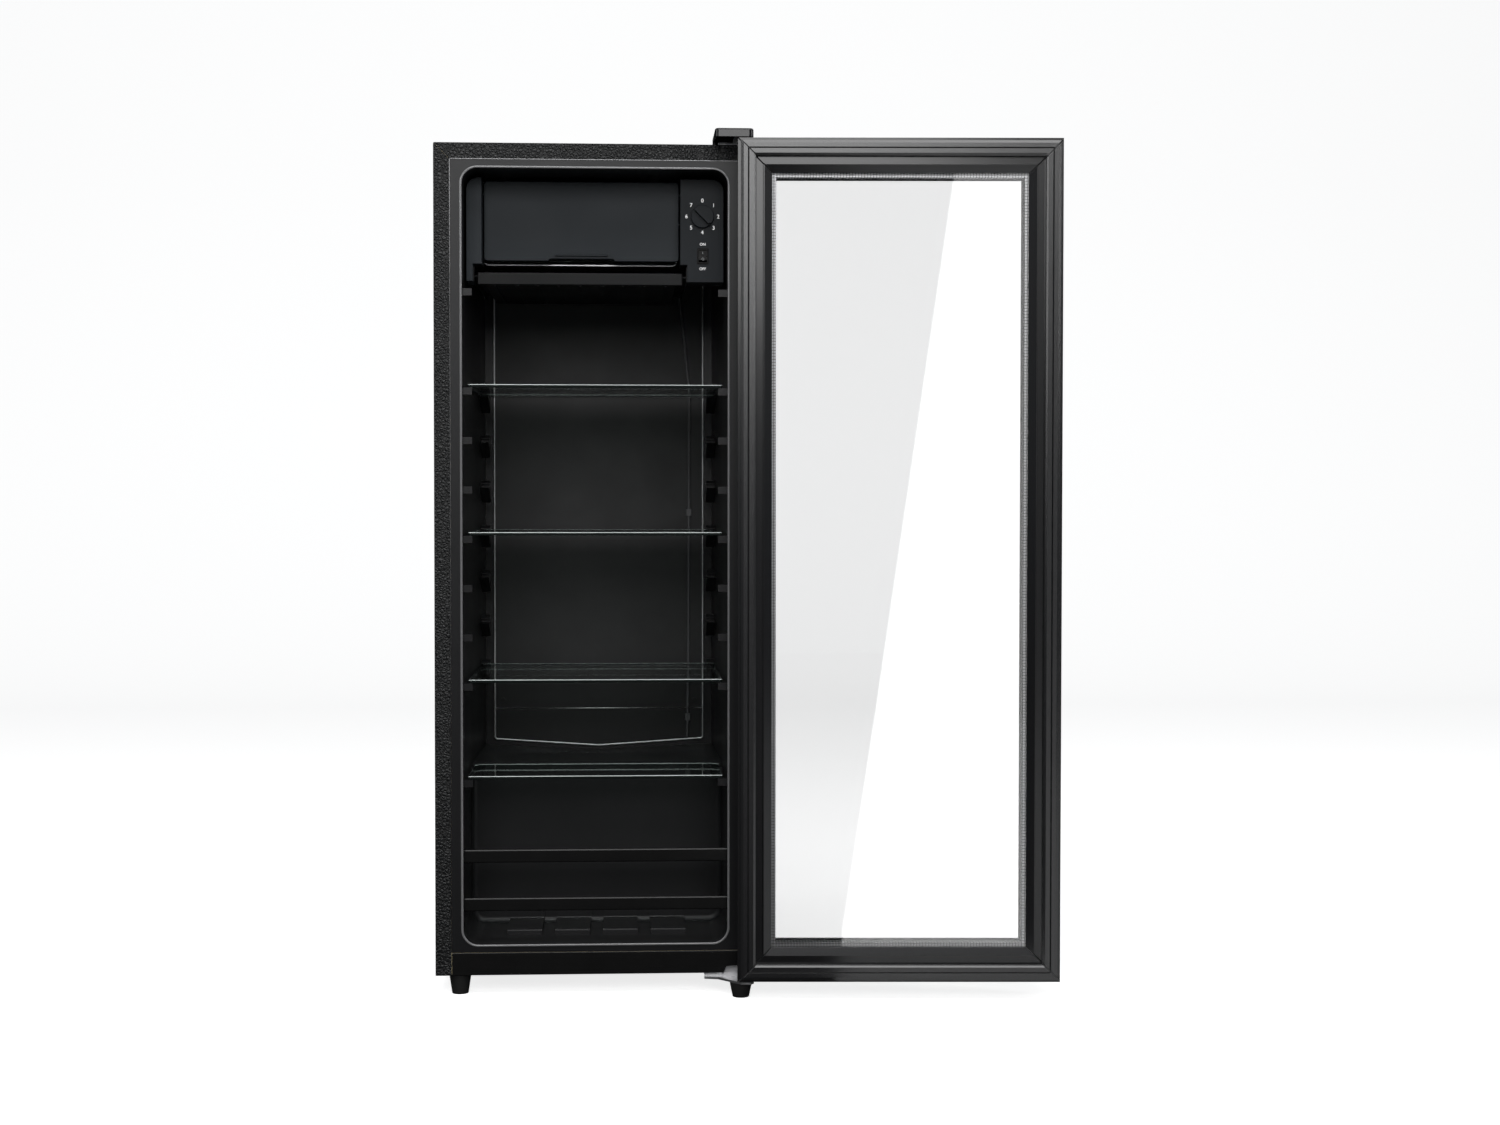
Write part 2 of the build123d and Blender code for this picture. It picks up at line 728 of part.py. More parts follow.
# knob: a skirt with a bar across it that points up and to the left; it turns with its own shaft
pointer = math.radians(knob_rest_angle)
knob_plane = Plane(origin=(knob_x, front + surround_front - knob_gap, level(knob_z)),
                   x_dir=(-math.sin(pointer), 0, math.cos(pointer)), z_dir=(0, -1, 0))
with BuildPart() as thermostat_knob:
    with BuildSketch(knob_plane):
        Circle(knob_radius)
    extrude(amount=knob_skirt, taper=6)
    fillet(thermostat_knob.edges().sort_by(Axis.Y)[0], 1.0)
    with BuildSketch(knob_plane.offset(knob_skirt - 1)):
        SlotOverall(2 * knob_radius - 3, knob_grip_width)
    extrude(amount=knob_grip_height, taper=4)
    with BuildSketch(knob_plane):
        Circle(shaft_radius)
    extrude(amount=-14)
save(thermostat_knob, "thermostat_knob")

# rocker switch
rocker_half = switch_height / 2 - 2 - 0.4
rocker_y = front + surround_front + 1.5
with BuildPart() as switch_body:
    box_between((switch_x - switch_width / 2, switch_x + switch_width / 2),
                (surround_front - switch_lip, surround_front),
                (level(switch_z) - switch_height / 2, level(switch_z) + switch_height / 2))
    fillet(switch_body.edges().filter_by(Axis.Y), 1.0)
    chamfer(switch_body.faces().sort_by(Axis.Y)[0].outer_wire().edges(), 0.5)
    box_between((switch_x - switch_width / 2 + 1.1, switch_x + switch_width / 2 - 1.1),
                (surround_front, surround_front + 15),
                (level(switch_z) - switch_height / 2 + 1.1, level(switch_z) + switch_height / 2 - 1.1))
    box_between((switch_x - rocker_width / 2 - 0.3, switch_x + rocker_width / 2 + 0.3),
                (surround_front - 5, surround_front + 13),
                (level(switch_z) - rocker_half - 0.4, level(switch_z) + rocker_half + 0.4),
                mode=Mode.SUBTRACT)
    rod_along_x((switch_x - rocker_width / 2 - 1.2, switch_x + rocker_width / 2 + 1.2), surround_front + 1.5,
                level(switch_z), rocker_pin_radius + running_clearance, mode=Mode.SUBTRACT)
save(switch_body, "switch_body")

tilt = math.radians(rocker_tilt)
rocker_plane = Plane(origin=(switch_x, rocker_y, level(switch_z)),
                     x_dir=(0, math.cos(tilt), -math.sin(tilt)), z_dir=(1, 0, 0))
with BuildPart() as switch_rocker:
    with BuildSketch(rocker_plane):
        Circle(rocker_half)
        with BuildLine():
            face = 3.4
            lean = rocker_half * math.tan(math.radians(rocker_tilt))
            Polyline(
                (-face - lean, rocker_half + 1), (-face, 0), (-face - lean, -rocker_half - 1),
                (rocker_half - 1, -rocker_half - 1), (rocker_half - 1, rocker_half + 1), close=True,
            )
        make_face(mode=Mode.INTERSECT)
    extrude(amount=rocker_width / 2, both=True)
    with BuildSketch(rocker_plane):
        Circle(rocker_pin_radius)
    extrude(amount=rocker_width / 2 + 1, both=True)
save(switch_rocker, "switch_rocker")

# ---------------------------------------------------------------- ice box flap
flap_left = cheek_inner + flap_gap
flap_right = housing_inner - flap_gap
flap_middle = (flap_left + flap_right) / 2
with BuildPart() as freezer_flap:
    with BuildSketch(facing(flap_front)):
        with Locations((flap_middle, level((flap_bottom + flap_top) / 2))):
            RectangleRounded(flap_right - flap_left, flap_top - flap_bottom, flap_radius)
        with Locations((flap_middle, level(flap_bottom))):
            SlotOverall(finger_width, 2 * finger_rise, mode=Mode.SUBTRACT)
    extrude(amount=-flap_thickness)
    face_edges = freezer_flap.faces().sort_by(Axis.Y)[0].outer_wire().edges()
    fillet(face_edges, 1.2)
    with BuildSketch(facing(flap_front + 0.5)):
        with Locations((flap_middle, level(flap_bottom + 8))):
            SlotOverall(pull_width, 3.2)
    extrude(amount=4.0, taper=12)
    # the back of the flap is hollowed, with its rim left standing
    with BuildSketch(facing(flap_front + flap_thickness)):
        with Locations((flap_middle, level((flap_bottom + flap_top) / 2 + 1))):
            RectangleRounded(flap_right - flap_left - 12, flap_top - flap_bottom - 20, 3)
    extrude(amount=flap_thickness - 2.4, mode=Mode.SUBTRACT)
    pin_span = (flap_left - flap_pin_length, flap_left + 3)
    rod_along_x(pin_span, pivot_depth, level(flap_pivot), flap_pin_radius)
    pin_span = (flap_right - 3, flap_right + flap_pin_length)
    rod_along_x(pin_span, pivot_depth, level(flap_pivot), flap_pin_radius)
save(freezer_flap, "freezer_flap")

# ---------------------------------------------------------------- drip tray and runners
pan_left, pan_right = tray_left + tray_lip, tray_right - tray_lip
with BuildPart() as drip_tray:
    box_between((pan_left, pan_right), (tray_front + 1, tray_back), (level(tray_bottom), level(tray_top) - 1))
    fillet(drip_tray.edges().filter_by(Axis.Y).group_by(Axis.Z)[0], 3)
    offset(amount=-tray_wall, openings=drip_tray.faces().sort_by(Axis.Z)[-1])
    lip_low = level(tray_top) - 1 - tray_lip_thickness
    for x0, x1 in ((tray_left, pan_left + tray_wall), (pan_right - tray_wall, tray_right)):
        box_between((x0, x1), (tray_front + 1, tray_back), (lip_low, level(tray_top) - 1))
    box_between((tray_left, tray_right), (tray_front, tray_front + tray_rail),
                (level(tray_bottom), level(tray_top)))
    rail = drip_tray.faces().filter_by(Axis.Y).sort_by(Axis.Y)[0]
    fillet(rail.outer_wire().edges(), 1.2)
    rib_pitch = (pan_right - pan_left - 30) / (tray_ribs - 1)
    for n in range(tray_ribs):
        x = pan_left + 15 + n * rib_pitch
        box_between((x - 1.5, x + 1.5), (tray_front + tray_rail, tray_back - 12),
                    (level(tray_bottom) - 1.6, level(tray_bottom) + 0.5))
save(drip_tray, "drip_tray")

ledge_top = lip_low - runner_gap
left_wall_x = cheek_inner - cheek_notch
right_wall_x = housing_inner + housing_notch
with BuildPart() as tray_runners:
    for wall_x, ledge_x in ((left_wall_x, pan_left - runner_overhang), (right_wall_x, pan_right + runner_overhang)):
        side = math.copysign(1, wall_x)
        box_between((wall_x - side * runner_gauge, wall_x), (surround_front + 8, runner_back),
                    (ledge_top - 8, level(notch_top) - 6))
        box_between((ledge_x, wall_x), (tray_front + tray_rail + 1, runner_back),
                    (ledge_top - runner_gauge, ledge_top))
save(tray_runners, "tray_runners")

# ---------------------------------------------------------------- shelves
shelf_levels = {"top_shelf": peg_levels[7], "middle_shelf": peg_levels[4], "lower_shelf": peg_levels[1]}
for name, peg in shelf_levels.items():
    with BuildPart() as shelf:
        box_between((-shelf_half, shelf_half), (shelf_inset, shelf_rear),
                    (shelf_bottom(peg), shelf_bottom(peg) + shelf_thickness))
        fillet(shelf.edges().filter_by(Axis.Z), 3)
        fillet(shelf.faces().sort_by(Axis.Y)[0].edges().filter_by(Axis.X), 1.2)
    save(shelf, name)

with BuildPart() as bottom_shelf:
    peg = peg_levels[0]
    box_between((-shelf_half, shelf_half), (shelf_inset, bottom_shelf_rear),
                (shelf_bottom(peg), shelf_bottom(peg) + shelf_thickness))
    chamfer(bottom_shelf.edges().filter_by(Axis.Z).group_by(Axis.Y)[-1], 9)
    fillet(bottom_shelf.faces().sort_by(Axis.Y)[0].edges().filter_by(Axis.X), 1.2)
save(bottom_shelf, "bottom_shelf")

# ---------------------------------------------------------------- hoses
def tube(points, radius, bend, bore=0.0):
    """A round tube along straight runs joined by tangent arcs."""
    with BuildPart() as pipe:
        with BuildLine() as path:
            if len(points) > 2:
                FilletPolyline(*points, radius=bend)
            else:
                Line(*points)
        start = Vector(*points[0])
        with BuildSketch(Plane(origin=start, z_dir=Vector(*points[1]) - start)):
            Circle(radius)
            if bore:
                Circle(bore, mode=Mode.SUBTRACT)
        sweep(path=path.wire())
    return pipe


hose_depth = plate_face - hose_radius - 1.2
hose_stops = [
    (8.0, ice_box_bottom - 4), (16.0, ice_box_bottom - 73), (24.5, ice_box_bottom - 163),
    (24.0, (ice_box_bottom + plate_bottom) / 2), (23.0, plate_bottom + 122), (21.5, plate_bottom + 2),
]
hose_route = [(ice_box_right + out, front + hose_depth, level(z)) for out, z in hose_stops]
defrost_hose = tube(hose_route, hose_radius, 120)
save(defrost_hose, "defrost_hose")
with BuildPart() as hose_clips:
    for x_offset, z in ((24.0, level((ice_box_bottom + plate_bottom) / 2)), (22.1, level(plate_bottom + 32))):
        x = ice_box_right + x_offset
        box_between((x - 4, x + 4), (hose_depth - hose_radius - 1.4, plate_face), (z - 5, z + 5))
        fillet(hose_clips.edges().filter_by(Axis.Z).group_by(Axis.Y)[0], 1.2)
    add(defrost_hose.part, mode=Mode.SUBTRACT)
save(hose_clips, "hose_clips")

pan_top = bay_top - 14
drain_end = pan_top - 6
trough_low = step_top - trough_depth - liner_gauge
with BuildPart() as drain_tube:
    post(0, drain_depth, (drain_end, step_top - trough_depth), drain_radius - 0.05)
    post(0, drain_depth, (drain_end - 1, step_top), drain_bore, mode=Mode.SUBTRACT)
save(drain_tube, "drain_tube")

# ---------------------------------------------------------------- compressor bay
compressor_y = cabinet_depth - compressor_inset
mount_z = base_z + base_gauge + grommet_height
grommet_places = [(compressor_x + sx * (mount_half - 12), compressor_y + sy * (mount_half_depth - 12))
                  for sx in (-1, 1) for sy in (-1, 1)]
shell_bottom = mount_z + mount_gauge
shell_top = shell_bottom + compressor_height
with BuildPart() as compressor:
    for shrink, mode in ((0, Mode.ADD), (compressor_shell, Mode.SUBTRACT)):
        with BuildPart(mode=Mode.PRIVATE) as dome:
            post(compressor_x, compressor_y, (shell_bottom + shrink, shell_top - shrink),
                 compressor_radius - shrink)
            rims = dome.edges().filter_by(GeomType.CIRCLE).sort_by(Axis.Z)
            fillet(rims[-1], dome_radius - shrink)
            fillet(rims[0], dish_radius - shrink)
        add(dome.part, mode=mode)
save(compressor, "compressor")

with BuildPart() as compressor_mount:
    box_between((compressor_x - mount_half, compressor_x + mount_half),
                (compressor_y - mount_half_depth, compressor_y + mount_half_depth), (mount_z, mount_z + mount_gauge))
    fillet(compressor_mount.edges().filter_by(Axis.Z), 14)
    for x, depth in grommet_places:
        post(x, depth, (mount_z - 1, mount_z + 5), 4, mode=Mode.SUBTRACT)
save(compressor_mount, "compressor_mount")

with BuildPart() as grommets:
    for x, depth in grommet_places:
        post(x, depth, (base_z + base_gauge, mount_z), grommet_radius)
        post(x, depth, (base_z + base_gauge, mount_z + mount_gauge), 4)
        post(x, depth, (mount_z + mount_gauge, mount_z + mount_gauge + 3), 7)
save(grommets, "compressor_grommets")

with BuildPart() as relay_cover:
    relay_x = compressor_x - compressor_radius
    box_between((relay_x - 26, relay_x + 20), (compressor_y - 22, compressor_y + 22),
                (shell_bottom + 40, shell_bottom + 88))
    fillet(relay_cover.edges().filter_by(Axis.Z).group_by(Axis.X)[0], 5)
    add(compressor.part, mode=Mode.SUBTRACT)
    post(compressor_x, compressor_y, (shell_bottom, shell_top), compressor_radius - 1, mode=Mode.SUBTRACT)
save(relay_cover, "relay_cover")

with BuildPart() as evaporating_pan:
    pan_x = (-45.0, compressor_x + 30)
    pan_depth = (drain_depth - 80, drain_depth + 30)
    pan_low = shell_top + 0.2
    box_between(pan_x, pan_depth, (pan_low, pan_low + pan_height))
    fillet(evaporating_pan.edges().filter_by(Axis.Z), 10)
    fillet(evaporating_pan.faces().sort_by(Axis.Z)[0].edges(), 3)
    offset(amount=-pan_wall, openings=evaporating_pan.faces().sort_by(Axis.Z)[-1])
save(evaporating_pan, "evaporating_pan")

drier_x = -95.0
drier_y = front + cabinet_depth - 60
drier_low = base_z + 60
with BuildPart() as filter_drier:
    with BuildSketch(Plane.XZ.offset(-drier_y)):
        with BuildLine():
            r = drier_radius
            Polyline(
                (drier_x, drier_low), (drier_x + pipe_radius, drier_low), (drier_x + pipe_radius, drier_low + 8),
                (drier_x + r, drier_low + 18), (drier_x + r, drier_low + drier_length - 18),
                (drier_x + pipe_radius, drier_low + drier_length - 8),
                (drier_x + pipe_radius, drier_low + drier_length), (drier_x, drier_low + drier_length), close=True,
            )
        make_face()
    revolve(axis=Axis((drier_x, drier_y, 0), (0, 0, 1)))
save(filter_drier, "filter_drier")

# condenser: one pipe folded to and fro behind the cabinet, with wires across both its faces
condenser_y = back + condenser_standoff
condenser_low = level(condenser_bottom)
condenser_high = condenser_low + (condenser_rows - 1) * condenser_pitch
pipe_route = [(condenser_riser_x, condenser_y, bay_top - 70)]
pipe_route += [(condenser_riser_x, condenser_y, condenser_low)]
for row in range(condenser_rows):
    z = condenser_low + row * condenser_pitch
    sides = (1, -1) if row % 2 == 0 else (-1, 1)
    if row:
        pipe_route.append((sides[0] * condenser_half_width, condenser_y, z))
    pipe_route.append((sides[1] * condenser_half_width, condenser_y, z))
condenser_pipe_body = tube(pipe_route, condenser_pipe, condenser_pitch * 0.45)
save(condenser_pipe_body, "condenser_pipe")

with BuildPart() as condenser_wires:
    wire_pitch = 2 * (condenser_half_width - 28) / (wire_count - 1)
    for n in range(wire_count):
        x = -condenser_half_width + 28 + n * wire_pitch
        for face in (-1, 1):
            offset_y = face * (condenser_pipe + wire_radius)
            with Locations((x, condenser_y + offset_y, (condenser_low + condenser_high) / 2)):
                Cylinder(wire_radius, condenser_high - condenser_low + 16)
save(condenser_wires, "condenser_wires")

with BuildPart() as condenser_brackets:
    reach = condenser_y + condenser_pipe + 2 - back
    for side in (-1, 1):
        for row in (2, condenser_rows - 3):
            z = condenser_low + row * condenser_pitch
            x = side * (condenser_half_width - 12)
            box_between((x - 5, x + 5), (inside_back, cabinet_depth + reach), (z - 7, z + 7))
    add(condenser_pipe_body.part, mode=Mode.SUBTRACT)
    add(outer_casing.part, mode=Mode.SUBTRACT)
save(condenser_brackets, "condenser_brackets")

discharge = tube(
    [
        (compressor_x + compressor_radius, front + compressor_y, shell_bottom + 50),
        (condenser_riser_x, front + compressor_y, shell_bottom + 50),
        (condenser_riser_x, condenser_y, shell_bottom + 50),
        (condenser_riser_x, condenser_y, bay_top - 70),
    ],
    condenser_pipe, 14,
)
save(discharge, "discharge_pipe")

suction = tube(
    [
        (suction_x, front + suction_depth, bay_top + 18),
        (suction_x, front + suction_depth, shell_bottom + 80),
        (suction_x, front + compressor_y - 52, shell_bottom + 80),
    ],
    pipe_radius - 0.05, 16,
)
with BuildPart() as suction_pipe:
    add(suction.part)
    add(compressor.part, mode=Mode.SUBTRACT)
save(suction_pipe, "suction_pipe")

# ---------------------------------------------------------------- hinges
cap_x = (hinge_x - 44, hinge_x + 7)
cap_depth = (-hinge_reach - 21, 46.0)
with BuildPart() as top_bracket:
    # a plate on the roof, stepped up where it reaches out over the door
    box_between((hinge_x - 38, hinge_x + 5), (0, bracket_back - 5), (top_z, top_z + bracket_gauge))
    box_between((hinge_x - 18, hinge_x + 5), (0, bracket_gauge), (top_z, bracket_over + bracket_gauge))
    box_between((hinge_x - 18, hinge_x + 5), (-hinge_reach - 8, bracket_gauge),
                (bracket_over, bracket_over + bracket_gauge))
    post(hinge_x, -hinge_reach, (pin_top_end, bracket_over + bracket_gauge), pin_radius)
    add(hinge_screws.part, mode=Mode.SUBTRACT)
save(top_bracket, "top_hinge_bracket")

cap_low = bracket_over - seam
cap_plan = (cap_x[1] - cap_x[0], cap_depth[1] - cap_depth[0])
cap_middle = ((cap_x[0] + cap_x[1]) / 2, front + (cap_depth[0] + cap_depth[1]) / 2)
with BuildPart() as hinge_cap:
    box_between(cap_x, cap_depth, (cap_low, cap_low + cap_height))
    fillet(hinge_cap.edges().filter_by(Axis.Z), 6)
    fillet(hinge_cap.faces().sort_by(Axis.Z)[-1].edges(), 2.5)
    # its back part comes down to the roof
    box_between((cap_x[0] + 0.5, cap_x[1] - 0.5), (0.5, cap_depth[1] - 6.5), (top_z + 0.3, cap_low + 1))
    with BuildSketch(Plane.XY.offset(top_z)):
        with Locations(cap_middle):
            RectangleRounded(cap_plan[0] - 2 * cap_wall, cap_plan[1] - 2 * cap_wall, 4)
    extrude(amount=cap_low + cap_height - cap_wall - top_z, mode=Mode.SUBTRACT)
save(hinge_cap, "hinge_cap")

with BuildPart() as bottom_bracket:
    near = front - hinge_reach
    # the rear half is screwed under the cabinet, the front half is stepped down under the door
    with BuildSketch(Plane.XY.offset(base_z - bracket_gauge)):
        with BuildLine():
            Polyline((hinge_x - 56, front + bracket_back), (hinge_x - 56, front + bracket_gauge),
                     (hinge_x + 9, front + bracket_gauge), (hinge_x + 9, front + bracket_back), close=True)
        make_face()
    extrude(amount=bracket_gauge)
    with BuildSketch(Plane.XY.offset(bracket_under - bracket_gauge)):
        with BuildLine():
            Polyline(
                (hinge_x - 56, front + 2 * bracket_gauge), (hinge_x - 56, front - 3), (hinge_x - 38, front - 7),
                (hinge_x - 16, near - 4), (hinge_x - 8, near - 14), (hinge_x + 5, near - 14),
                (hinge_x + 9, near - 8), (hinge_x + 9, front + 2 * bracket_gauge), close=True,
            )
        make_face()
    extrude(amount=bracket_gauge)
    box_between((hinge_x - 56, hinge_x + 9), (bracket_gauge, 2 * bracket_gauge),
                (bracket_under - bracket_gauge, base_z))
    # an upright tongue bent up in front of the kick plate
    with BuildSketch(facing(-tongue_gauge)):
        with BuildLine():
            Polyline((hinge_x - 33, bracket_under - 1), (hinge_x - 26, base_z + 9), (hinge_x - 12, base_z + 10),
                     (hinge_x - 9, bracket_under - 1), close=True)
        make_face()
    extrude(amount=-tongue_gauge)
    post(hinge_x, -hinge_reach, (bracket_under - bracket_gauge, pin_low_end), pin_radius)
    x, depth = right_foot
    post(x, depth, (bracket_under - 5, bracket_under + 1), stud_radius + running_clearance, mode=Mode.SUBTRACT)
    add(hinge_screws.part, mode=Mode.SUBTRACT)
save(bottom_bracket, "bottom_hinge_bracket")

# ---------------------------------------------------------------- door
# Door pieces are laid out from the hinge pin in the door's own directions: "along" runs away from
# the door's free edge, "inward" from its outer face towards the cabinet, as when it is shut.
swing = math.radians(door_open_angle)
along = Vector(math.cos(swing), math.sin(swing), 0)
inward = Vector(-math.sin(swing), math.cos(swing), 0)
up = Vector(0, 0, 1)
pin_axis = Vector(hinge_x, hinge_y, 0)
door_bottom = base_z - door_under_base
door_top = top_z + door_over_top
door_middle = (door_bottom + door_top) / 2
door_height = door_top - door_bottom
outer_face = hinge_reach - gasket_gap - gasket_height - frame_thickness
hinge_edge = hinge_inset
grip_edge = hinge_inset - door_width


def door_point(a, b, z):
    """A point of the door: a along it from the pin, b inward from its outer face, z high."""
    return pin_axis + along * a + inward * (outer_face + b) + up * z


sides = {
    "hinge": (door_point(hinge_edge, 0, door_middle), along * -1, door_height),
    "grip": (door_point(grip_edge, 0, door_middle), along, door_height),
    "top": (door_point((hinge_edge + grip_edge) / 2, 0, door_top), up * -1, door_width),
    "bottom": (door_point((hinge_edge + grip_edge) / 2, 0, door_bottom), up, door_width),
}


def side_of_frame(outline, side, hollow=None):
    """One mitred side: an outline of (from the edge, inward) points run along that side."""
    origin, edge_in, length = sides[side]
    section_plane = Plane(origin=origin, x_dir=edge_in, z_dir=edge_in.cross(inward))
    widest = max(point[0] for point in outline) + 1
    with BuildPart() as member:
        with BuildSketch(section_plane):
            with BuildLine():
                Polyline(*outline, close=True)
            make_face()
            if hollow:
                with BuildLine():
                    Polyline(*hollow, close=True)
                make_face(mode=Mode.SUBTRACT)
        extrude(amount=length / 2, both=True)
        with BuildSketch(Plane(origin=origin, x_dir=edge_in, z_dir=inward)):
            with BuildLine():
                Polyline((0, -length / 2), (widest, widest - length / 2), (widest, length / 2 - widest),
                         (0, length / 2), close=True)
            make_face()
        extrude(amount=frame_thickness + gasket_height + 10, both=True, mode=Mode.INTERSECT)
    return member


frame_outline = [
    (0, 1), (1, 0), (frame_width - 1, 0), (frame_width, 1), (frame_width, frame_face),
    (frame_chamber, frame_face), (frame_chamber, frame_thickness), (0, frame_thickness),
]
chamber_outline = [
    (frame_wall, frame_wall + 2), (frame_chamber - frame_wall, frame_wall + 2),
    (frame_chamber - frame_wall, frame_thickness - frame_wall), (frame_wall, frame_thickness - frame_wall),
]
bush_radius = pin_radius + bush_wall
bush_depth = frame_chamber - frame_wall
pin_on_door = -outer_face
for name, side in (("door_hinge_stile", "hinge"), ("door_grip_stile", "grip"),
                   ("door_top_rail", "top"), ("door_bottom_rail", "bottom")):
    member = side_of_frame(frame_outline, side, chamber_outline)
    with BuildPart() as frame_member:
        add(member.part)
        for z in (door_bottom + bush_depth / 2, door_top - bush_depth / 2):
            with Locations(door_point(0, pin_on_door, z)):
                Cylinder(bush_radius, bush_depth, mode=Mode.SUBTRACT)
    save(frame_member, name)

with BuildPart() as hinge_bushes:
    for edge_z, direction in ((door_top, -1), (door_bottom, 1)):
        with Locations(door_point(0, pin_on_door, edge_z + direction * bush_depth / 2)):
            Cylinder(bush_radius, bush_depth)
        with Locations(door_point(0, pin_on_door, edge_z - direction * bush_flange / 2)):
            Cylinder(bush_radius + 2, bush_flange)
        with Locations(door_point(0, pin_on_door, edge_z)):
            Cylinder(pin_radius + running_clearance, 4 * bush_depth, mode=Mode.SUBTRACT)
save(hinge_bushes, "hinge_bushes")

# sealed double pane: outer glass, spacer bar, inner glass, with a sealant edge outside the spacer
outer_glass_in = frame_face + glass_play
inner_glass_in = outer_glass_in + glass_thickness + pane_gap
pack_back = inner_glass_in + glass_thickness
pane_width = door_width - 2 * glass_edge
pane_height = door_height - 2 * glass_edge
pane_centre = (hinge_edge + grip_edge) / 2


def pane_plane(b):
    """A plane in the door's face, b inward from its outer face, centred on the door."""
    return Plane(origin=door_point(pane_centre, b, door_middle), x_dir=along, z_dir=inward)


for name, b in (("outer_glass", outer_glass_in), ("inner_glass", inner_glass_in)):
    with BuildPart() as pane:
        with BuildSketch(pane_plane(b)):
            Rectangle(pane_width, pane_height)
        extrude(amount=glass_thickness)
    save(pane, name)

spacer_inner = frame_width - 0.5
for name, outer_in, inner_in in (("glass_spacer", spacer_inner - spacer_width, spacer_inner),
                                 ("glass_edge_seal", glass_edge + 1, spacer_inner - spacer_width)):
    with BuildPart() as ring:
        with BuildSketch(pane_plane(outer_glass_in + glass_thickness)):
            Rectangle(door_width - 2 * outer_in, door_height - 2 * outer_in)
            Rectangle(door_width - 2 * inner_in, door_height - 2 * inner_in, mode=Mode.SUBTRACT)
        extrude(amount=pane_gap)
    save(ring, name)

# the inner moulding snaps in behind the glass: a flat land, a channel, then a bevel down to the glass
land = 24.0
channel_end = 33.0
bevel_start = 35.0
pack_clear = pack_back + glass_play
moulding_outline = [
    (frame_chamber + glass_play, pack_clear), (frame_chamber + glass_play, frame_thickness),
    (land, frame_thickness), (land, frame_thickness - 4), (channel_end, frame_thickness - 4),
    (channel_end + 0.8, frame_thickness), (bevel_start, frame_thickness),
    (bevel_start + bevel_width, pack_clear + 2.2), (bevel_start + bevel_width, pack_clear),
]
with BuildPart() as inner_moulding:
    for side in sides:
        add(side_of_frame(moulding_outline, side).part)
save(inner_moulding, "door_inner_moulding")

g0 = gasket_inset
g1 = gasket_inset + gasket_width
seat = frame_thickness
crown = frame_thickness + gasket_height
gasket_outline = [
    (g0 + 1, seat), (g1, seat), (g1, seat + 2.2), (g1 - 2.4, seat + 3.6), (g1 - 0.8, seat + 6),
    (g1 - 3, crown), (g1 - 9, crown), (g1 - 10, crown - 1.2), (g1 - 11, crown), (g0 + 4.6, crown),
    (g0 + 1, seat + 6), (g0 + 2.4, seat + 3.6), (g0 + 1, seat + 2.2),
]
with BuildPart() as door_gasket:
    for side in sides:
        add(side_of_frame(gasket_outline, side).part)
save(door_gasket, "door_gasket")

# pull handle on the free stile, clear of the hand on all sides
handle_in = frame_chamber + 10
with BuildPart() as door_handle:
    a = grip_edge + handle_in
    with BuildSketch(Plane(origin=door_point(a, 0, door_middle), x_dir=up, z_dir=along * -1)):
        with BuildLine():
            h = handle_length / 2
            reach = -(handle_standoff + handle_depth)
            near = -handle_standoff
            Polyline(
                (-h, 0), (-h, reach + 8), (-h + 10, reach), (h - 10, reach), (h, reach + 8), (h, 0),
                (h - handle_post, 0), (h - handle_post, near + 4), (h - handle_post - 5, near),
                (-h + handle_post + 5, near), (-h + handle_post, near + 4), (-h + handle_post, 0), close=True,
            )
        make_face()
    extrude(amount=handle_width / 2, both=True)
    rims = door_handle.faces().filter_by(lambda f: abs(f.normal_at().dot(along)) > 0.99)
    fillet(rims.edges(), 2.5)
save(door_handle, "door_handle")

# ---------------------------------------------------------------- feet
for name, (x, depth), top, thread in (
    ("front_left_foot", left_foot, base_z, stud_length),
    ("front_right_foot", right_foot, bracket_under - bracket_gauge, bracket_gauge - 0.4),
):
    with BuildPart() as foot:
        with Locations((x, front + depth, top / 2)):
            Cone(foot_toe_radius, foot_radius, top)
        post(x, depth, (top, top + thread), stud_radius)
        fillet(foot.edges().sort_by(Axis.Z)[0], 1.2)
    save(foot, name)

with BuildPart() as rear_feet:
    for x, depth in rear_feet_places:
        with Locations((x, front + depth, base_z / 2)):
            Cone(foot_toe_radius, foot_radius, base_z)
        post(x, depth, (base_z, base_z + base_gauge + 4), stud_radius)
        post(x, depth, (base_z + base_gauge, base_z + base_gauge + 4), 2 * stud_radius)
save(rear_feet, "rear_feet")
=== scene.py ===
# %% [markdown]
# A glass door drinks cooler, dressed for its portrait. The shapes come from a measured solid model,
# loaded as a fixed frame; this lesson adds a camera, a studio, materials made of nodes, and the small
# pieces that a solid model leaves out. Everything is in metres, +Z up, and the cooler faces -Y.

# %% Load the frame
import json
import math
import bpy
import numpy as np
from mathutils import Matrix, Vector


